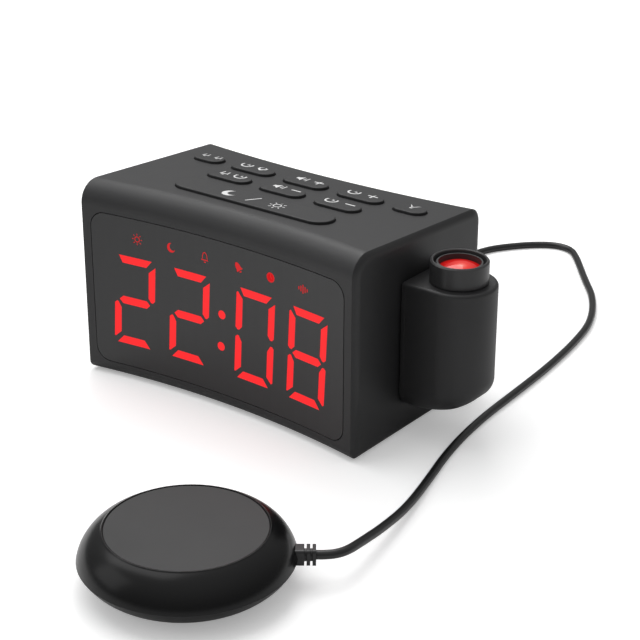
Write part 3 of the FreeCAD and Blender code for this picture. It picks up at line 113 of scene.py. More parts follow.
class ClockSettings(bpy.types.PropertyGroup):
    """Sizes and colours that a user would change"""

    camera_place: bpy.props.FloatVectorProperty(
        name="Camera", description="Where the camera stands", size=3,
        default=(0.47122, -0.58663, 0.36112), subtype="XYZ", unit="LENGTH")
    camera_target: bpy.props.FloatVectorProperty(
        name="Target", description="The point the camera looks at", size=3,
        default=(0.02241, 0.00333, 0.03571), subtype="XYZ", unit="LENGTH")
    camera_roll: bpy.props.FloatProperty(
        name="Roll", description="Turn of the camera about its own line of sight",
        default=math.radians(0.19), subtype="ANGLE")
    camera_lens: bpy.props.FloatProperty(
        name="Lens", description="Focal length for a sensor 36 mm wide", default=96.11, subtype="DISTANCE_CAMERA")
    cord_diameter: bpy.props.FloatProperty(
        name="Cord diameter", description="Outside diameter of the cord", default=0.0038, unit="LENGTH")
    cord_length: bpy.props.FloatProperty(
        name="Cord length", description="Length of the cord from the boot to the plug", default=0.583, unit="LENGTH")
    mark_thickness: bpy.props.FloatProperty(
        name="Print thickness", description="Thickness of the printed marks", default=0.00004, unit="LENGTH")
    panel_groove: bpy.props.FloatProperty(
        name="Panel groove", description="Width of the groove round the display panel", default=0.0004, unit="LENGTH")
    case_colour: bpy.props.FloatVectorProperty(
        name="Case", description="Colour of the matte case plastic", size=3, default=(0.019, 0.019, 0.02),
        min=0, max=1, subtype="COLOR")
    panel_colour: bpy.props.FloatVectorProperty(
        name="Panel", description="Colour of the smoked display panel", size=3, default=(0.019, 0.019, 0.02),
        min=0, max=1, subtype="COLOR")
    gloss_colour: bpy.props.FloatVectorProperty(
        name="Gloss", description="Colour of the glossy pad shells", size=3, default=(0.004, 0.004, 0.0043),
        min=0, max=1, subtype="COLOR")
    cord_colour: bpy.props.FloatVectorProperty(
        name="Cord", description="Colour of the cord's sheath", size=3, default=(0.01, 0.01, 0.0105),
        min=0, max=1, subtype="COLOR")
    digit_colour: bpy.props.FloatVectorProperty(
        name="Digits", description="Colour of the lit bars", size=3, default=(1.0, 0.018, 0.022),
        min=0, max=1, subtype="COLOR")
    print_colour: bpy.props.FloatVectorProperty(
        name="Print", description="Colour of the marks on the keys", size=3, default=(0.8, 0.8, 0.8),
        min=0, max=1, subtype="COLOR")


# Node trees

def add_node(tree, kind, place=(0, 0), **settings):
    made = tree.nodes.new(kind)
    made.location = place
    for name, value in settings.items():
        setattr(made, name, value)
    return made


def join(tree, source, output, target, entry):
    tree.links.new(source.outputs[output], target.inputs[entry])


def moulded_surface():
    """Fine grain, slow mottle and rubbed patches of a moulded plastic, in object space"""
    name = "Moulded surface"
    if name in bpy.data.node_groups:
        return bpy.data.node_groups[name]
    group = bpy.data.node_groups.new(name, "ShaderNodeTree")
    face = group.interface
    for label, kind, value in (("Grain per metre", "NodeSocketFloat", 3000.0), ("Mottle", "NodeSocketFloat", 0.08),
                               ("Roughness", "NodeSocketFloat", 0.5), ("Rub", "NodeSocketFloat", 0.05)):
        face.new_socket(label, in_out="INPUT", socket_type=kind).default_value = value
    face.new_socket("Colour", in_out="INPUT", socket_type="NodeSocketColor")
    face.new_socket("Colour", in_out="OUTPUT", socket_type="NodeSocketColor")
    face.new_socket("Roughness", in_out="OUTPUT", socket_type="NodeSocketFloat")
    face.new_socket("Height", in_out="OUTPUT", socket_type="NodeSocketFloat")
    source = add_node(group, "NodeGroupInput", (-900, 0))
    sink = add_node(group, "NodeGroupOutput", (700, 0))
    where = add_node(group, "ShaderNodeTexCoord", (-900, -300))
    grain = add_node(group, "ShaderNodeTexNoise", (-500, -300))
    grain.inputs["Detail"].default_value = 2.0
    join(group, where, "Object", grain, "Vector")
    join(group, source, "Grain per metre", grain, "Scale")
    join(group, grain, "Fac", sink, "Height")
    cloud = add_node(group, "ShaderNodeTexNoise", (-500, 100))
    cloud.inputs["Scale"].default_value = 26.0
    cloud.inputs["Detail"].default_value = 3.0
    join(group, where, "Object", cloud, "Vector")
    shift = add_node(group, "ShaderNodeMath", (-300, 100), operation="SUBTRACT")
    shift.inputs[1].default_value = 0.5
    join(group, cloud, "Fac", shift, 0)
    amount = add_node(group, "ShaderNodeMath", (-100, 200), operation="MULTIPLY")
    join(group, shift, 0, amount, 0)
    join(group, source, "Mottle", amount, 1)
    tone = add_node(group, "ShaderNodeMath", (100, 200), operation="ADD")
    tone.inputs[1].default_value = 1.0
    join(group, amount, 0, tone, 0)
    scaled = add_node(group, "ShaderNodeVectorMath", (300, 200), operation="SCALE")
    join(group, source, "Colour", scaled, 0)
    join(group, tone, 0, scaled, "Scale")
    join(group, scaled, 0, sink, "Colour")
    rub = add_node(group, "ShaderNodeMath", (-100, 0), operation="MULTIPLY")
    join(group, shift, 0, rub, 0)
    join(group, source, "Rub", rub, 1)
    rough = add_node(group, "ShaderNodeMath", (100, 0), operation="ADD")
    join(group, rub, 0, rough, 0)
    join(group, source, "Roughness", rough, 1)
    join(group, rough, 0, sink, "Roughness")
    return group


def plastic(name, colour, roughness, grain=3000.0, depth=0.00002, mottle=0.12, rub=0.12, specular=0.5, coat=0.0,
            edge=0.0003):
    """A moulded plastic, rubber or board with its own grain and mottle"""
    if name in bpy.data.materials:
        return bpy.data.materials[name]
    made = bpy.data.materials.new(name)
    made.use_nodes = True
    tree = made.node_tree
    shader = tree.nodes["Principled BSDF"]
    shader.inputs["Specular IOR Level"].default_value = specular
    shader.inputs["Coat Weight"].default_value = coat
    surface = add_node(tree, "ShaderNodeGroup", (-500, 100), node_tree=moulded_surface())
    surface.inputs["Grain per metre"].default_value = grain
    surface.inputs["Mottle"].default_value = mottle
    surface.inputs["Roughness"].default_value = roughness
    surface.inputs["Rub"].default_value = rub
    surface.inputs["Colour"].default_value = (*colour, 1.0)
    join(tree, surface, "Colour", shader, "Base Color")
    join(tree, surface, "Roughness", shader, "Roughness")
    bump = add_node(tree, "ShaderNodeBump", (-250, -200))
    bump.inputs["Distance"].default_value = depth
    bump.inputs["Strength"].default_value = 1.0
    join(tree, surface, "Height", bump, "Height")
    join(tree, bump, "Normal", shader, "Normal")
    if edge > 0:
        soft = add_node(tree, "ShaderNodeBevel", (-500, -350), samples=6)
        soft.inputs["Radius"].default_value = edge
        join(tree, soft, "Normal", bump, "Normal")
    return made


def metal(name, colour, roughness, grain=1500.0):
    made = plastic(name, colour, roughness, grain=grain, depth=0.000006, mottle=0.1, rub=0.2)
    made.node_tree.nodes["Principled BSDF"].inputs["Metallic"].default_value = 1.0
    return made


def lit(name, colour, strength, roughness=0.4, coat=0.0, base=0.03, specular=0.2):
    """A plastic that glows, a little uneven, as a diffuser in front of a lamp does"""
    if name in bpy.data.materials:
        return bpy.data.materials[name]
    made = plastic(name, [base * c for c in colour], roughness, depth=0.000004, coat=coat, specular=specular)
    tree = made.node_tree
    shader = tree.nodes["Principled BSDF"]
    shader.inputs["Emission Strength"].default_value = strength
    surface = add_node(tree, "ShaderNodeGroup", (-500, -300), node_tree=moulded_surface())
    surface.inputs["Mottle"].default_value = 0.1
    surface.inputs["Colour"].default_value = (*colour, 1.0)
    join(tree, surface, "Colour", shader, "Emission Color")
    return made


def lens_glow_with_painted_highlight():
    """Red glow of the lens with a painted highlight: pinkish white at one spot, deepening to dim red away from it"""
    name = "Glow spot"
    if name in bpy.data.node_groups:
        return bpy.data.node_groups[name]
    group = bpy.data.node_groups.new(name, "ShaderNodeTree")
    group.interface.new_socket("Colour", in_out="OUTPUT", socket_type="NodeSocketColor")
    sink = add_node(group, "NodeGroupOutput", (500, 0))
    where = add_node(group, "ShaderNodeTexCoord", (-700, 0))
    away = add_node(group, "ShaderNodeVectorMath", (-500, 0), operation="DISTANCE")
    away.inputs[1].default_value = [v * MM for v in PAINTED_HIGHLIGHT_SPOT]
    join(group, where, "Object", away, 0)
    ramp = add_node(group, "ShaderNodeValToRGB", (-100, 0))
    stops = ramp.color_ramp.elements
    stops[0].position, stops[0].color = 0.0, (1.0, 0.3, 0.24, 1)
    stops[1].position, stops[1].color = 1.0, (0.2, 0.002, 0.002, 1)
    for place, colour in ((0.22, (0.9, 0.06, 0.045, 1)), (0.5, (0.62, 0.008, 0.007, 1))):
        stops.new(place).color = colour
    near = add_node(group, "ShaderNodeMapRange", (-300, 0))
    near.inputs["From Max"].default_value = 0.012
    join(group, away, "Value", near, "Value")
    join(group, near, 0, ramp, 0)
    join(group, ramp, "Color", sink, "Colour")
    return group


# Meshes

def add_piece(name, bm, materials, body, smooth=True):
    mesh = bpy.data.meshes.new(name)
    bm.to_mesh(mesh)
    bm.free()
    for material in materials:
        mesh.materials.append(material)
    if smooth:
        mesh.shade_smooth()
    piece = bpy.data.objects.new(name, mesh)
    bpy.context.scene.collection.objects.link(piece)
    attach(piece, body)
    return piece


def on_top(x, y, height):
    """A point of the sloping top, in millimetres, to the row frame in metres"""
    c, s = math.cos(SLOPE), math.sin(SLOPE)
    return Vector((x, y * c + height * s, TOP_MIDDLE - y * s + height * c)) * MM


def on_front(x, z, depth):
    """A point behind the hollow front, in millimetres, to the row frame in metres"""
    radius = FRONT_CURVE + depth
    y = FRONT_MIDDLE_Y - FRONT_CURVE + math.sqrt(radius ** 2 - x ** 2)
    return Vector((x, y, z)) * MM


# Length of a curve handle that makes a quarter circle, as a share of the radius
CIRCLE_HANDLE = 0.5523


def polygon(curve, points):
    spline = curve.splines.new("POLY")
    spline.points.add(len(points) - 1)
    for point, (x, y) in zip(spline.points, points):
        point.co = (x, y, 0, 1)
    spline.use_cyclic_u = True


def rectangle(curve, x, y, width, height):
    a, b = width / 2, height / 2
    polygon(curve, [(x - a, y - b), (x + a, y - b), (x + a, y + b), (x - a, y + b)])


def circle(curve, x, y, radius):
    spline = curve.splines.new("BEZIER")
    spline.bezier_points.add(3)
    pull = CIRCLE_HANDLE * radius
    for point, (u, v) in zip(spline.bezier_points, ((1, 0), (0, 1), (-1, 0), (0, -1))):
        point.co = (x + u * radius, y + v * radius, 0)
        point.handle_left = (x + u * radius + v * pull, y + v * radius - u * pull, 0)
        point.handle_right = (x + u * radius - v * pull, y + v * radius + u * pull, 0)
    spline.use_cyclic_u = True
    spline.resolution_u = 8


def ring(curve, x, y, radius, width):
    circle(curve, x, y, radius)
    circle(curve, x, y, radius - width)


def turned_polygon(curve, points, x, y, angle):
    c, s = math.cos(angle), math.sin(angle)
    polygon(curve, [(x + u * c - v * s, y + u * s + v * c) for u, v in points])


MERGE_MM = 0.0005


def flat_shapes(draw):
    """Draws closed outlines in millimetres on a flat curve and fills them, holes left open"""
    curve = bpy.data.curves.new("outline", "CURVE")
    curve.dimensions = "2D"
    curve.fill_mode = "BOTH"
    draw(curve)
    holder = bpy.data.objects.new("outline", curve)
    bpy.context.scene.collection.objects.link(holder)
    bpy.context.view_layer.update()
    mesh = bpy.data.meshes.new_from_object(holder)
    bm = bmesh.new()
    bm.from_mesh(mesh)
    bpy.data.objects.remove(holder)
    bpy.data.curves.remove(curve)
    bpy.data.meshes.remove(mesh)
    bmesh.ops.remove_doubles(bm, verts=bm.verts, dist=MERGE_MM)
    bmesh.ops.dissolve_degenerate(bm, edges=bm.edges, dist=MERGE_MM)
    return bm


def thicken(bm, where, front, back):
    """Turns flat shapes, drawn in millimetres, into thin solids from front to back, placed by where"""
    bmesh.ops.recalc_face_normals(bm, faces=bm.faces)
    outer = list(bm.verts)
    walls = bmesh.ops.extrude_face_region(bm, geom=bm.faces[:] + bm.edges[:] + bm.verts[:])
    inner = [item for item in walls["geom"] if isinstance(item, bmesh.types.BMVert)]
    for vert in outer:
        vert.co = where(vert.co.x, vert.co.y, front)
    for vert in inner:
        vert.co = where(vert.co.x, vert.co.y, back)
    bmesh.ops.recalc_face_normals(bm, faces=bm.faces)
    return bm


# Bars of the display

DIGIT_LEFTS = (-63.0, -31.0, 8.3, 40.3)
DIGIT_BOTTOM = 19.1
DIGIT_HEIGHT = 45.7
DIGIT_SLANT = 2.4
LIT_BARS = {"2": "abged", "0": "abcdef", "8": "abcdefg"}
DOT_RADIUS = 2.15
DOT_HEIGHTS = (48.1, 32.0)

# Corners of each bar in a digit, across and up from its lower left corner before the slant
BAR_SHAPES = {
    "a": [(2.3, 45.7), (21.2, 45.7), (18.1, 41.9), (4.5, 41.9)],
    "b": [(23.4, 42.9), (23.3, 25.6), (22.1, 24.4), (21.1, 24.4), (19.5, 26.4), (19.5, 39.6)],
    "c": [(23.4, 20.6), (23.3, 3.3), (22.4, 2.6), (19.5, 5.4), (19.5, 18.4), (21.3, 21.4), (22.4, 21.5)],
    "d": [(1.8, 0.0), (5.3, 3.9), (17.4, 3.9), (20.7, 0.0)],
    "e": [(0.0, 3.1), (0.1, 20.6), (1.3, 21.6), (2.1, 21.5), (3.9, 18.6), (3.9, 5.9), (0.5, 2.8)],
    "f": [(0.0, 25.5), (0.1, 42.8), (0.9, 43.4), (3.9, 40.2), (3.9, 26.2), (2.1, 24.3), (1.2, 24.4)],
    "g": [(2.8, 22.85), (4.9, 24.8), (18.5, 24.8), (20.5, 22.85), (18.5, 20.9), (4.9, 20.9)],
}


def bar_points(left, bar):
    lean = DIGIT_SLANT / DIGIT_HEIGHT
    return [(left + x + lean * (y - DIGIT_HEIGHT / 2), DIGIT_BOTTOM + y) for x, y in BAR_SHAPES[bar]]


def draw_digits(curve):
    for left, digit in zip(DIGIT_LEFTS, "2208"):
        for bar in LIT_BARS[digit]:
            polygon(curve, bar_points(left, bar))
    for z in DOT_HEIGHTS:
        circle(curve, DIGIT_SLANT * ((z - DIGIT_BOTTOM) / DIGIT_HEIGHT - 0.5), z, DOT_RADIUS)


# Projection lens: radius, heights of the foot, edge and crown, facets, and the spot of its painted highlight, where the
# glow is brightest
LENS_AXIS = (100.3, 1.6)
LENS_RADIUS = 9.3
LENS_FOOT = 79.5
LENS_EDGE = 82.5
LENS_CROWN = 84.9
LENS_STEPS = 16
LENS_TURNS = 96
PAINTED_HIGHLIGHT_SPOT = (102.6, -0.6, 84.2)

BELL = [(-1.7, -1.5), (1.7, -1.5), (1.3, -0.8), (1.1, 0.8), (0.6, 1.6), (0, 1.9), (-0.6, 1.6), (-1.1, 0.8),
        (-1.3, -0.8)]


# Angles along the outer and the hollow side of a moon
MOON_OUTER = [math.radians(100 + 20 * i) for i in range(13)]
MOON_INNER = [math.radians(330 - 18 * i) for i in range(13)]


def draw_indicators(curve):
    z = INDICATOR_HEIGHT / INDICATOR_SCALE
    xs = [x / INDICATOR_SCALE for x in INDICATOR_PLACES]
    ring(curve, xs[0], z, 1.2, 0.35)
    ray = [(1.6, -0.17), (2.3, -0.17), (2.3, 0.17), (1.6, 0.17)]
    for i in range(8):
        turned_polygon(curve, ray, xs[0], z, i * math.pi / 4)
    arc = [(1.9 * math.cos(a), 1.9 * math.sin(a)) for a in MOON_OUTER]
    hollow = [(0.75 + 1.45 * math.cos(a), 0.45 + 1.45 * math.sin(a)) for a in MOON_INNER]
    polygon(curve, [(xs[1] + u, z + v) for u, v in arc + hollow])
    polygon(curve, [(xs[2] + u, z + v) for u, v in BELL])
    polygon(curve, [(xs[2] + 0.72 * u, z + 0.05 + 0.76 * v) for u, v in BELL])
    rectangle(curve, xs[2], z - 2.1, 0.9, 0.45)
    turned_polygon(curve, BELL, xs[3], z, math.radians(35))
    turned_polygon(curve, [(-0.5, -2.3), (0.5, -2.3), (0.5, -1.8), (-0.5, -1.8)], xs[3], z, math.radians(35))
    ring(curve, xs[4], z, 1.9, 0.35)
    rectangle(curve, xs[4], z + 0.55, 0.32, 1.2)
    turned_polygon(curve, [(0.1, -0.16), (1.0, -0.16), (1.0, 0.16), (0.1, 0.16)], xs[4], z, math.radians(-25))
    rectangle(curve, xs[5] - 2.0, z, 0.5, 1.2)
    rectangle(curve, xs[5] - 1.0, z, 0.5, 2.2)
    rectangle(curve, xs[5], z, 0.5, 3.4)
    rectangle(curve, xs[5] + 1.0, z, 0.5, 2.2)
    rectangle(curve, xs[5] + 2.0, z, 0.5, 1.2)


def indicator_shapes():
    bm = flat_shapes(draw_indicators)
    bmesh.ops.scale(bm, vec=(INDICATOR_SCALE, INDICATOR_SCALE, 1), verts=bm.verts)
    return bm


# Marks on the keys

def mark_plus(curve, x, y, size):
    polygon(curve, [(x + u * size / 2, y + v * size / 2) for u, v in
                    ((-0.17, -1), (0.17, -1), (0.17, -0.17), (1, -0.17), (1, 0.17), (0.17, 0.17), (0.17, 1),
                     (-0.17, 1), (-0.17, 0.17), (-1, 0.17), (-1, -0.17), (-0.17, -0.17))])


def mark_speaker(curve, x, y):
    polygon(curve, [(x + u, y + v) for u, v in ((-1.6, -0.7), (-0.7, -0.7), (0.6, -1.8), (0.6, 1.8), (-0.7, 0.7),
                                                (-1.6, 0.7))])
    turned_polygon(curve, [(1.3, -0.9), (1.7, -0.9), (1.7, 0.9), (1.3, 0.9)], x, y, 0)
    turned_polygon(curve, [(2.3, -1.5), (2.7, -1.5), (2.7, 1.5), (2.3, 1.5)], x, y, 0)


def mark_bell(curve, x, y, size):
    polygon(curve, [(x + u * size, y + v * size) for u, v in BELL])
    polygon(curve, [(x + u * size * 0.66, y + v * size * 0.7) for u, v in BELL])
    rectangle(curve, x, y - 2.15 * size, 1.1 * size, 0.5 * size)


def mark_clock(curve, x, y, radius):
    ring(curve, x, y, radius, 0.6)
    rectangle(curve, x, y + radius * 0.28, 0.5, radius * 0.7)
    rectangle(curve, x + radius * 0.22, y, radius * 0.5, 0.5)


def mark_arrow(curve, x, y, way):
    polygon(curve, [(x + u, y + way * v) for u, v in ((-1.9, -0.9), (-1.3, -1.4), (0, -0.1), (1.3, -1.4), (1.9, -0.9),
                                                      (0, 1.0))])


def mark_beam(curve, x, y):
    polygon(curve, [(x + u, y + v) for u, v in ((-0.5, -1.7), (0.5, -1.7), (0.5, -0.9), (-0.5, -0.9))])
    polygon(curve, [(x + u, y + v) for u, v in ((-0.5, -0.5), (0.5, -0.5), (1.9, 1.6), (-1.9, 1.6))])
    polygon(curve, [(x + u, y + v) for u, v in ((-0.35, 0.0), (0.35, 0.0), (1.15, 1.15), (-1.15, 1.15))])


def mark_sun(curve, x, y, size):
    ring(curve, x, y, size * 0.5, 0.6)
    ray = [(size * 0.68, -0.3), (size, -0.3), (size, 0.3), (size * 0.68, 0.3)]
    for i in range(8):
        turned_polygon(curve, ray, x, y, i * math.pi / 4)


def mark_moon(curve, x, y, size):
    arc = [(math.cos(a), math.sin(a)) for a in MOON_OUTER]
    hollow = [(0.4 + 0.76 * math.cos(a), 0.24 + 0.76 * math.sin(a)) for a in MOON_INNER]
    polygon(curve, [(x + size * u, y + size * v) for u, v in arc + hollow])


def draw_key_marks(curve):
    mark_bell(curve, -62.6, 21.5, 0.85)
    mark_bell(curve, -57.4, 21.5, 0.85)
    mark_clock(curve, -36.0, 21.3, 2.3)
    mark_arrow(curve, -29.6, 22.6, 1)
    mark_arrow(curve, -29.6, 20.0, -1)
    mark_speaker(curve, -3.2, 21.3)
    mark_plus(curve, 4.0, 21.3, 3.6)
    mark_clock(curve, 28.6, 21.3, 2.3)
    mark_plus(curve, 35.6, 21.3, 3.6)
    mark_beam(curve, 60.0, 21.3)
    mark_bell(curve, -35.2, 3.8, 1.05)
    mark_clock(curve, -29.2, 3.5, 2.3)
    mark_speaker(curve, -3.2, 3.5)
    rectangle(curve, 4.0, 3.5, 3.6, 0.62)
    mark_clock(curve, 28.6, 3.5, 2.3)
    rectangle(curve, 35.6, 3.5, 3.6, 0.62)
    mark_moon(curve, -14.0, -17.9, 3.9)
    turned_polygon(curve, [(-4.2, -0.4), (4.2, -0.4), (4.2, 0.4), (-4.2, 0.4)], 0, -17.9, math.radians(62))
    mark_sun(curve, 14.0, -17.9, 4.3)


# Operators, one for each piece or group of like pieces

class ALARMCLOCK_OT_camera(bpy.types.Operator):
    """Sets the camera at the photograph's viewing angle"""
    bl_idname = "alarmclock.camera"
    bl_label = "Camera"

    def execute(self, context):
        sizes = context.scene.alarm_clock
        lens = bpy.data.cameras.new("camera")
        lens.lens = sizes.camera_lens
        lens.clip_start = 0.01
        camera = bpy.data.objects.new("camera", lens)
        context.scene.collection.objects.link(camera)
        look = Vector(sizes.camera_target) - Vector(sizes.camera_place)
        turn = look.to_track_quat("-Z", "Y").to_matrix().to_4x4() @ Matrix.Rotation(sizes.camera_roll, 4, "Z")
        camera.matrix_world = Matrix.Translation(Vector(sizes.camera_place)) @ turn
        context.scene.camera = camera
        return {"FINISHED"}


class ALARMCLOCK_OT_cord(bpy.types.Operator):
    """Lays the cord from the pad's boot to the plug"""
    bl_idname = "alarmclock.cord"
    bl_label = "Cord"

    def execute(self, context):
        sizes = context.scene.alarm_clock
        curve = bpy.data.curves.new("cord", "CURVE")
        curve.dimensions = "3D"
        curve.bevel_depth = sizes.cord_diameter / 2
        curve.bevel_resolution = 6
        curve.use_fill_caps = True
        spline = curve.splines.new("NURBS")
        spline.points.add(len(CORD_ROUTE) - 1)
        for point, (x, y, z) in zip(spline.points, CORD_ROUTE):
            point.co = (x * MM, y * MM, z * MM, 1.0)
        spline.order_u = 3
        spline.use_endpoint_u = True
        spline.resolution_u = 12
        curve.materials.append(plastic("Cord sheath", sizes.cord_colour, 0.34, grain=2500, depth=0.000006, rub=0.2))
        cord = bpy.data.objects.new("cord", curve)
        context.scene.collection.objects.link(cord)
        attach(cord, "clock")
        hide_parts("shaker_cord")
        return {"FINISHED"}


class ALARMCLOCK_OT_display(bpy.types.Operator):
    """Makes the smoked panel with the lit bars and indicators let into it"""
    bl_idname = "alarmclock.display"
    bl_label = "Display"

    def execute(self, context):
        sizes = context.scene.alarm_clock
        bars = add_piece("lit_bars", thicken(flat_shapes(draw_digits), on_front, BAR_FACE, BAR_BACK),
                         [lit("Lit bar", sizes.digit_colour, 1.0)], "clock", smooth=False)
        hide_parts("segments_lit")
        icons = add_piece("lit_indicators", thicken(indicator_shapes(), on_front, BAR_FACE, BAR_BACK),
                          [lit("Lit indicator", sizes.digit_colour, 0.62)], "clock", smooth=False)
        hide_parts("indicator_lights")
        bm = bmesh.new()
        bm.from_mesh(nodes["display_lens"].data)
        bmesh.ops.remove_doubles(bm, verts=bm.verts, dist=0.000002)
        low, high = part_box("display_lens")
        middle = (low + high) / 2
        shrink = Vector((1 - sizes.panel_groove / (high.x - low.x), 1, 1 - sizes.panel_groove / (high.z - low.z)))
        for vert in bm.verts:
            vert.co.x = middle.x + (vert.co.x - middle.x) * shrink.x
            vert.co.z = middle.z + (vert.co.z - middle.z) * shrink.z
        panel = add_piece("display_panel", bm, [plastic("Smoked panel", sizes.panel_colour, 0.3, grain=4000,
                                                        depth=0.000003, mottle=0.05, rub=0.08)], "clock")
        for shapes in (flat_shapes(draw_digits), indicator_shapes()):
            cutter_mesh = bpy.data.meshes.new("cutter")
            cut = thicken(shapes, on_front, CUT_FRONT, CUT_BACK)
            cut.to_mesh(cutter_mesh)
            cut.free()
            cutter = bpy.data.objects.new("cutter", cutter_mesh)
            context.scene.collection.objects.link(cutter)
            modifier = panel.modifiers.new("openings", "BOOLEAN")
            modifier.operation = "DIFFERENCE"
            modifier.solver = "EXACT"
            modifier.object = cutter
            context.view_layer.update()
            mesh = bpy.data.meshes.new_from_object(panel.evaluated_get(context.evaluated_depsgraph_get()))
            panel.modifiers.clear()
            panel.data = mesh
            bpy.data.objects.remove(cutter)
        panel.data.shade_flat()
        panel.data.name = "display_panel"
        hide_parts("display_lens")
        return {"FINISHED"}


class ALARMCLOCK_OT_lens(bpy.types.Operator):
    """Turns the domed red projection lens"""
    bl_idname = "alarmclock.lens"
    bl_label = "Projection lens"

    def execute(self, context):
        rise = LENS_CROWN - LENS_EDGE
        dome = (LENS_RADIUS ** 2 + rise ** 2) / (2 * rise)
        sweep = math.asin(LENS_RADIUS / dome)
        outline = [(0.0, LENS_FOOT), (LENS_RADIUS, LENS_FOOT), (LENS_RADIUS, LENS_EDGE - 0.1)]
        for i in range(LENS_STEPS, -1, -1):
            angle = sweep * i / LENS_STEPS
            outline.append((dome * math.sin(angle), LENS_CROWN - dome * (1 - math.cos(angle))))
        bm = bmesh.new()
        x, y = LENS_AXIS
        verts = [bm.verts.new(Vector((x + r, y, z)) * MM) for r, z in outline]
        edges = [bm.edges.new(pair) for pair in zip(verts, verts[1:])]
        bmesh.ops.spin(bm, geom=verts + edges, cent=Vector((x, y, 0)) * MM, axis=(0, 0, 1), angle=math.tau,
                       steps=LENS_TURNS, use_merge=True)
        bmesh.ops.remove_doubles(bm, verts=bm.verts, dist=0.000001)
        bmesh.ops.recalc_face_normals(bm, faces=bm.faces)
        red = lit("Red lens", (1.0, 0.012, 0.012), 0.75, roughness=0.12, coat=0.15, base=0.2)
        # The lens's own red glow gets a painted highlight, pinkish white at one spot and deeper red away from it
        spot = add_node(red.node_tree, "ShaderNodeGroup", (-500, -600), node_tree=lens_glow_with_painted_highlight())
        join(red.node_tree, spot, "Colour", red.node_tree.nodes["Principled BSDF"], "Emission Color")
        lens = add_piece("red_lens", bm, [red], "lens_barrel")
        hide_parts("projection_lens")
        return {"FINISHED"}


class ALARMCLOCK_OT_marks(bpy.types.Operator):
    """Prints plain marks on the keys and on the snooze bar"""
    bl_idname = "alarmclock.marks"
    bl_label = "Marks on the keys"

    def execute(self, context):
        sizes = context.scene.alarm_clock
        ink = plastic("White print", sizes.print_colour, 0.55, grain=5000, depth=0.000004)
        whole = flat_shapes(draw_key_marks)
        keys = [name for name in nodes if name.startswith("key_rear") or name.startswith("key_front")]
        for name in keys + ["snooze_bar"]:
            low, high = (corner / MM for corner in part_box(name))
            part = whole.copy()
            away = [face for face in part.faces
                    if not (low.x < face.calc_center_median().x < high.x
                            and low.y < face.calc_center_median().y + MARK_SHIFT < high.y)]
            bmesh.ops.delete(part, geom=away, context="FACES")
            if not part.faces:
                part.free()
                raise RuntimeError("no mark on " + name)
            middle = Vector(((low.x + high.x) / 2, (low.y + high.y) / 2 - MARK_SHIFT, 0))
            if name != "snooze_bar":
                bmesh.ops.scale(part, vec=(MARK_SCALE, MARK_SCALE, 1), verts=part.verts,
                                space=Matrix.Translation(-middle))
            front = KEY_TOP + sizes.mark_thickness / MM
            piece = add_piece("mark_" + name, thicken(part, on_top, front, KEY_TOP - MARK_SINK), [ink],
                              "snooze" if name == "snooze_bar" else name, smooth=False)
        whole.free()
        return {"FINISHED"}


class ALARMCLOCK_OT_finishes(bpy.types.Operator):
    """Gives every solid of the frame its finish"""
    bl_idname = "alarmclock.finishes"
    bl_label = "Finishes"

    def execute(self, context):
        sizes = context.scene.alarm_clock
        case = plastic("Matte case", sizes.case_colour, 0.5)
        key = plastic("Matte key", [c * 0.95 for c in sizes.case_colour], 0.48, grain=3600)
        gloss = plastic("Gloss shell", sizes.gloss_colour, 0.24, grain=900, depth=0.000002, mottle=0.05, rub=0.06,
                        specular=0.28)
        disc = plastic("Matte disc", [c * 0.6 for c in sizes.case_colour], 0.5, grain=2600)
        dark = plastic("Dark moulding", (0.012, 0.012, 0.012), 0.5)
        ring_finish = plastic("Satin ring", (0.042, 0.042, 0.043), 0.36, grain=4000, depth=0.000008)
        rubber = plastic("Rubber", (0.012, 0.012, 0.012), 0.75, grain=1800)
        sheath = plastic("Cord sheath", sizes.cord_colour, 0.34)
        board = plastic("Circuit board", (0.02, 0.12, 0.05), 0.35, grain=700, depth=0.00001, mottle=0.3)
        paper = plastic("Paper cone", (0.02, 0.02, 0.02), 0.85, grain=1200, depth=0.00005)
        ferrite = plastic("Ferrite", (0.06, 0.06, 0.065), 0.6, grain=1400, depth=0.00004, mottle=0.3)
        white = plastic("White moulding", (0.6, 0.6, 0.57), 0.4)
        glass = plastic("Clear lens", (0.85, 0.85, 0.85), 0.05, depth=0.0, mottle=0.02, rub=0.02)
        glass.node_tree.nodes["Principled BSDF"].inputs["Transmission Weight"].default_value = 1.0
        steel = metal("Steel", (0.45, 0.45, 0.46), 0.32)
        nickel = metal("Nickel", (0.6, 0.58, 0.54), 0.22)
        brass = metal("Brass", (0.62, 0.45, 0.18), 0.3)
        cell = metal("Cell case", (0.12, 0.16, 0.22), 0.3)
        finishes = {
            case: ["main_case", "back_cover", "battery_door", "projector_housing", "projector_cover"],
            key: ["snooze_bar", "mode_switch_knob"] + [n for n in nodes if n.startswith(("key_rear", "key_front"))],
            gloss: ["pad_top_shell", "pad_bottom_shell"],
            disc: ["pad_top_disc"],
            dark: ["display_reflector", "segments_unlit", "tact_switches", "battery_tray", "shaker_socket", "dc_socket",
                   "mode_switch_body", "lamp_tube"],
            ring_finish: ["focus_ring", "lens_barrel"],
            rubber: ["rubber_feet", "pad_base_ring"],
            sheath: ["pad_boot", "shaker_plug"],
            board: ["display_board", "key_board", "main_board", "projector_board"],
            paper: ["speaker_cone"],
            ferrite: ["speaker_magnet"],
            white: ["pivot_bush", "display_leds", "projector_led"],
            glass: ["condenser_lens", "image_slide"],
            steel: ["case_screws", "projector_screws", "pad_screws", "pivot_clip", "friction_washer", "speaker_frame",
                    "usb_socket", "vibration_motor", "motor_clamp"],
            nickel: ["battery_contacts"],
            brass: ["eccentric_weight"],
            cell: ["batteries"],
        }
        for material, names in finishes.items():
            for name in names:
                node = nodes[name]
                node.data.materials.clear()
                node.data.materials.append(material)
        return {"FINISHED"}


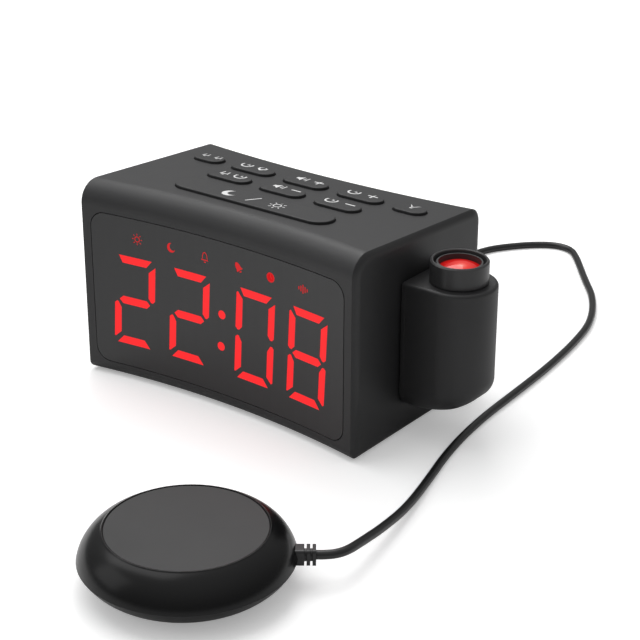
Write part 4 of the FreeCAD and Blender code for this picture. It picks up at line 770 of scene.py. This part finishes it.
# Softboxes: name, place, target, width and power
LAMPS = (
    ("top softbox", (-0.45, 0.05, 1.05), (0.0, 0.0, 0.0), 1.1, 6.2),
    ("back softbox", (-0.42, 0.55, 0.98), (0.02, 0.0, 0.03), 0.5, 2.8),
    ("front softbox", (-1.0, -1.0, 0.7), (0.0, 0.0, 0.04), 0.9, 2.2),
)
FLOOR_HALF = 6.0

# Floor: colour that is seen, colour that lights the part, and how far its shadow is lifted
FLOOR_SEEN = (0.97, 0.97, 0.97, 1)
FLOOR_BOUNCE = (0.2, 0.2, 0.2, 1)
FLOOR_LIFT = (0.3, 0.3, 0.3, 1)

# Sky: strength at the horizon and overhead
SKY_LOW = 0.14
SKY_HIGH = 0.7


class ALARMCLOCK_OT_stage(bpy.types.Operator):
    """Sets the floor, the sky and the lamps"""
    bl_idname = "alarmclock.stage"
    bl_label = "Stage"

    def execute(self, context):
        context.scene.view_settings.view_transform = "Standard"
        bm = bmesh.new()
        bmesh.ops.create_grid(bm, x_segments=1, y_segments=1, size=FLOOR_HALF)
        mesh = bpy.data.meshes.new("floor")
        bm.to_mesh(mesh)
        bm.free()
        floor = bpy.data.objects.new("floor", mesh)
        context.scene.collection.objects.link(floor)
        mesh.materials.append(self.floor_paint())
        self.light_sky(context)
        for lamp in LAMPS:
            self.add_lamp(context, *lamp)
        return {"FINISHED"}

    def floor_paint(self):
        paint = bpy.data.materials.new("Pale floor")
        paint.use_nodes = True
        tree = paint.node_tree
        shader = tree.nodes["Principled BSDF"]
        shader.inputs["Roughness"].default_value = 0.9
        shader.inputs["Specular IOR Level"].default_value = 0.0
        path = add_node(tree, "ShaderNodeLightPath", (-900, 0))
        seen = add_node(tree, "ShaderNodeMath", (-700, 0), operation="MAXIMUM")
        join(tree, path, "Is Camera Ray", seen, 0)
        join(tree, path, "Is Glossy Ray", seen, 1)
        mix = add_node(tree, "ShaderNodeMix", (-400, 0), data_type="RGBA")
        mix.inputs[6].default_value = FLOOR_BOUNCE
        mix.inputs[7].default_value = FLOOR_SEEN
        join(tree, seen, 0, mix, 0)
        tree.links.new(mix.outputs[2], shader.inputs["Base Color"])
        lift = add_node(tree, "ShaderNodeMix", (-400, -300), data_type="RGBA")
        lift.inputs[6].default_value = (0, 0, 0, 1)
        lift.inputs[7].default_value = FLOOR_LIFT
        join(tree, path, "Is Camera Ray", lift, 0)
        tree.links.new(lift.outputs[2], shader.inputs["Emission Color"])
        shader.inputs["Emission Strength"].default_value = 1.0
        return paint

    def light_sky(self, context):
        world = bpy.data.worlds.new("sky")
        context.scene.world = world
        world.use_nodes = True
        tree = world.node_tree
        back = tree.nodes["Background"]
        path = add_node(tree, "ShaderNodeLightPath", (-900, 200))
        seen = add_node(tree, "ShaderNodeMath", (-700, 200), operation="MAXIMUM")
        join(tree, path, "Is Camera Ray", seen, 0)
        join(tree, path, "Is Transmission Ray", seen, 1)
        where = add_node(tree, "ShaderNodeTexCoord", (-1100, -100))
        split = add_node(tree, "ShaderNodeSeparateXYZ", (-900, -100))
        join(tree, where, "Generated", split, 0)
        ramp = add_node(tree, "ShaderNodeMapRange", (-700, -100))
        ramp.inputs["From Min"].default_value = 0.0
        ramp.inputs["From Max"].default_value = 1.0
        ramp.inputs["To Min"].default_value = SKY_LOW
        ramp.inputs["To Max"].default_value = SKY_HIGH
        join(tree, split, "Z", ramp, "Value")
        mix = add_node(tree, "ShaderNodeMix", (-400, 0), data_type="RGBA")
        mix.inputs[7].default_value = (1, 1, 1, 1)
        join(tree, seen, 0, mix, 0)
        tree.links.new(ramp.outputs[0], mix.inputs[6])
        tree.links.new(mix.outputs[2], back.inputs["Color"])

    def add_lamp(self, context, name, place, target, size, power):
        data = bpy.data.lights.new(name, "AREA")
        data.shape = "SQUARE"
        data.size = size
        data.energy = power
        lamp = bpy.data.objects.new(name, data)
        context.scene.collection.objects.link(lamp)
        lamp.location = place
        look = Vector(target) - Vector(place)
        lamp.rotation_euler = look.to_track_quat("-Z", "Y").to_euler()


STEPS = ("camera", "cord", "display", "lens", "marks", "finishes", "stage")


class ALARMCLOCK_PT_panel(bpy.types.Panel):
    """Lists the steps that build the alarm clock"""
    bl_label = "Alarm Clock"
    bl_idname = "ALARMCLOCK_PT_panel"
    bl_space_type = "VIEW_3D"
    bl_region_type = "UI"
    bl_category = "Alarm Clock"

    def draw(self, context):
        for step in STEPS:
            self.layout.operator("alarmclock." + step)
        settings = context.scene.alarm_clock
        for name in settings.bl_rna.properties.keys():
            if name not in ("rna_type", "name"):
                self.layout.prop(settings, name)


CLASSES = (ClockSettings, ALARMCLOCK_OT_camera, ALARMCLOCK_OT_cord, ALARMCLOCK_OT_display, ALARMCLOCK_OT_lens,
           ALARMCLOCK_OT_marks, ALARMCLOCK_OT_finishes, ALARMCLOCK_OT_stage, ALARMCLOCK_PT_panel)


def register():
    for item in CLASSES:
        bpy.utils.register_class(item)
    bpy.types.Scene.alarm_clock = bpy.props.PointerProperty(type=ClockSettings)


def unregister():
    del bpy.types.Scene.alarm_clock
    for item in reversed(CLASSES):
        bpy.utils.unregister_class(item)


def main():
    register()
    for step in STEPS:
        getattr(bpy.ops.alarmclock, step)()


if __name__ == "__main__":
    main()
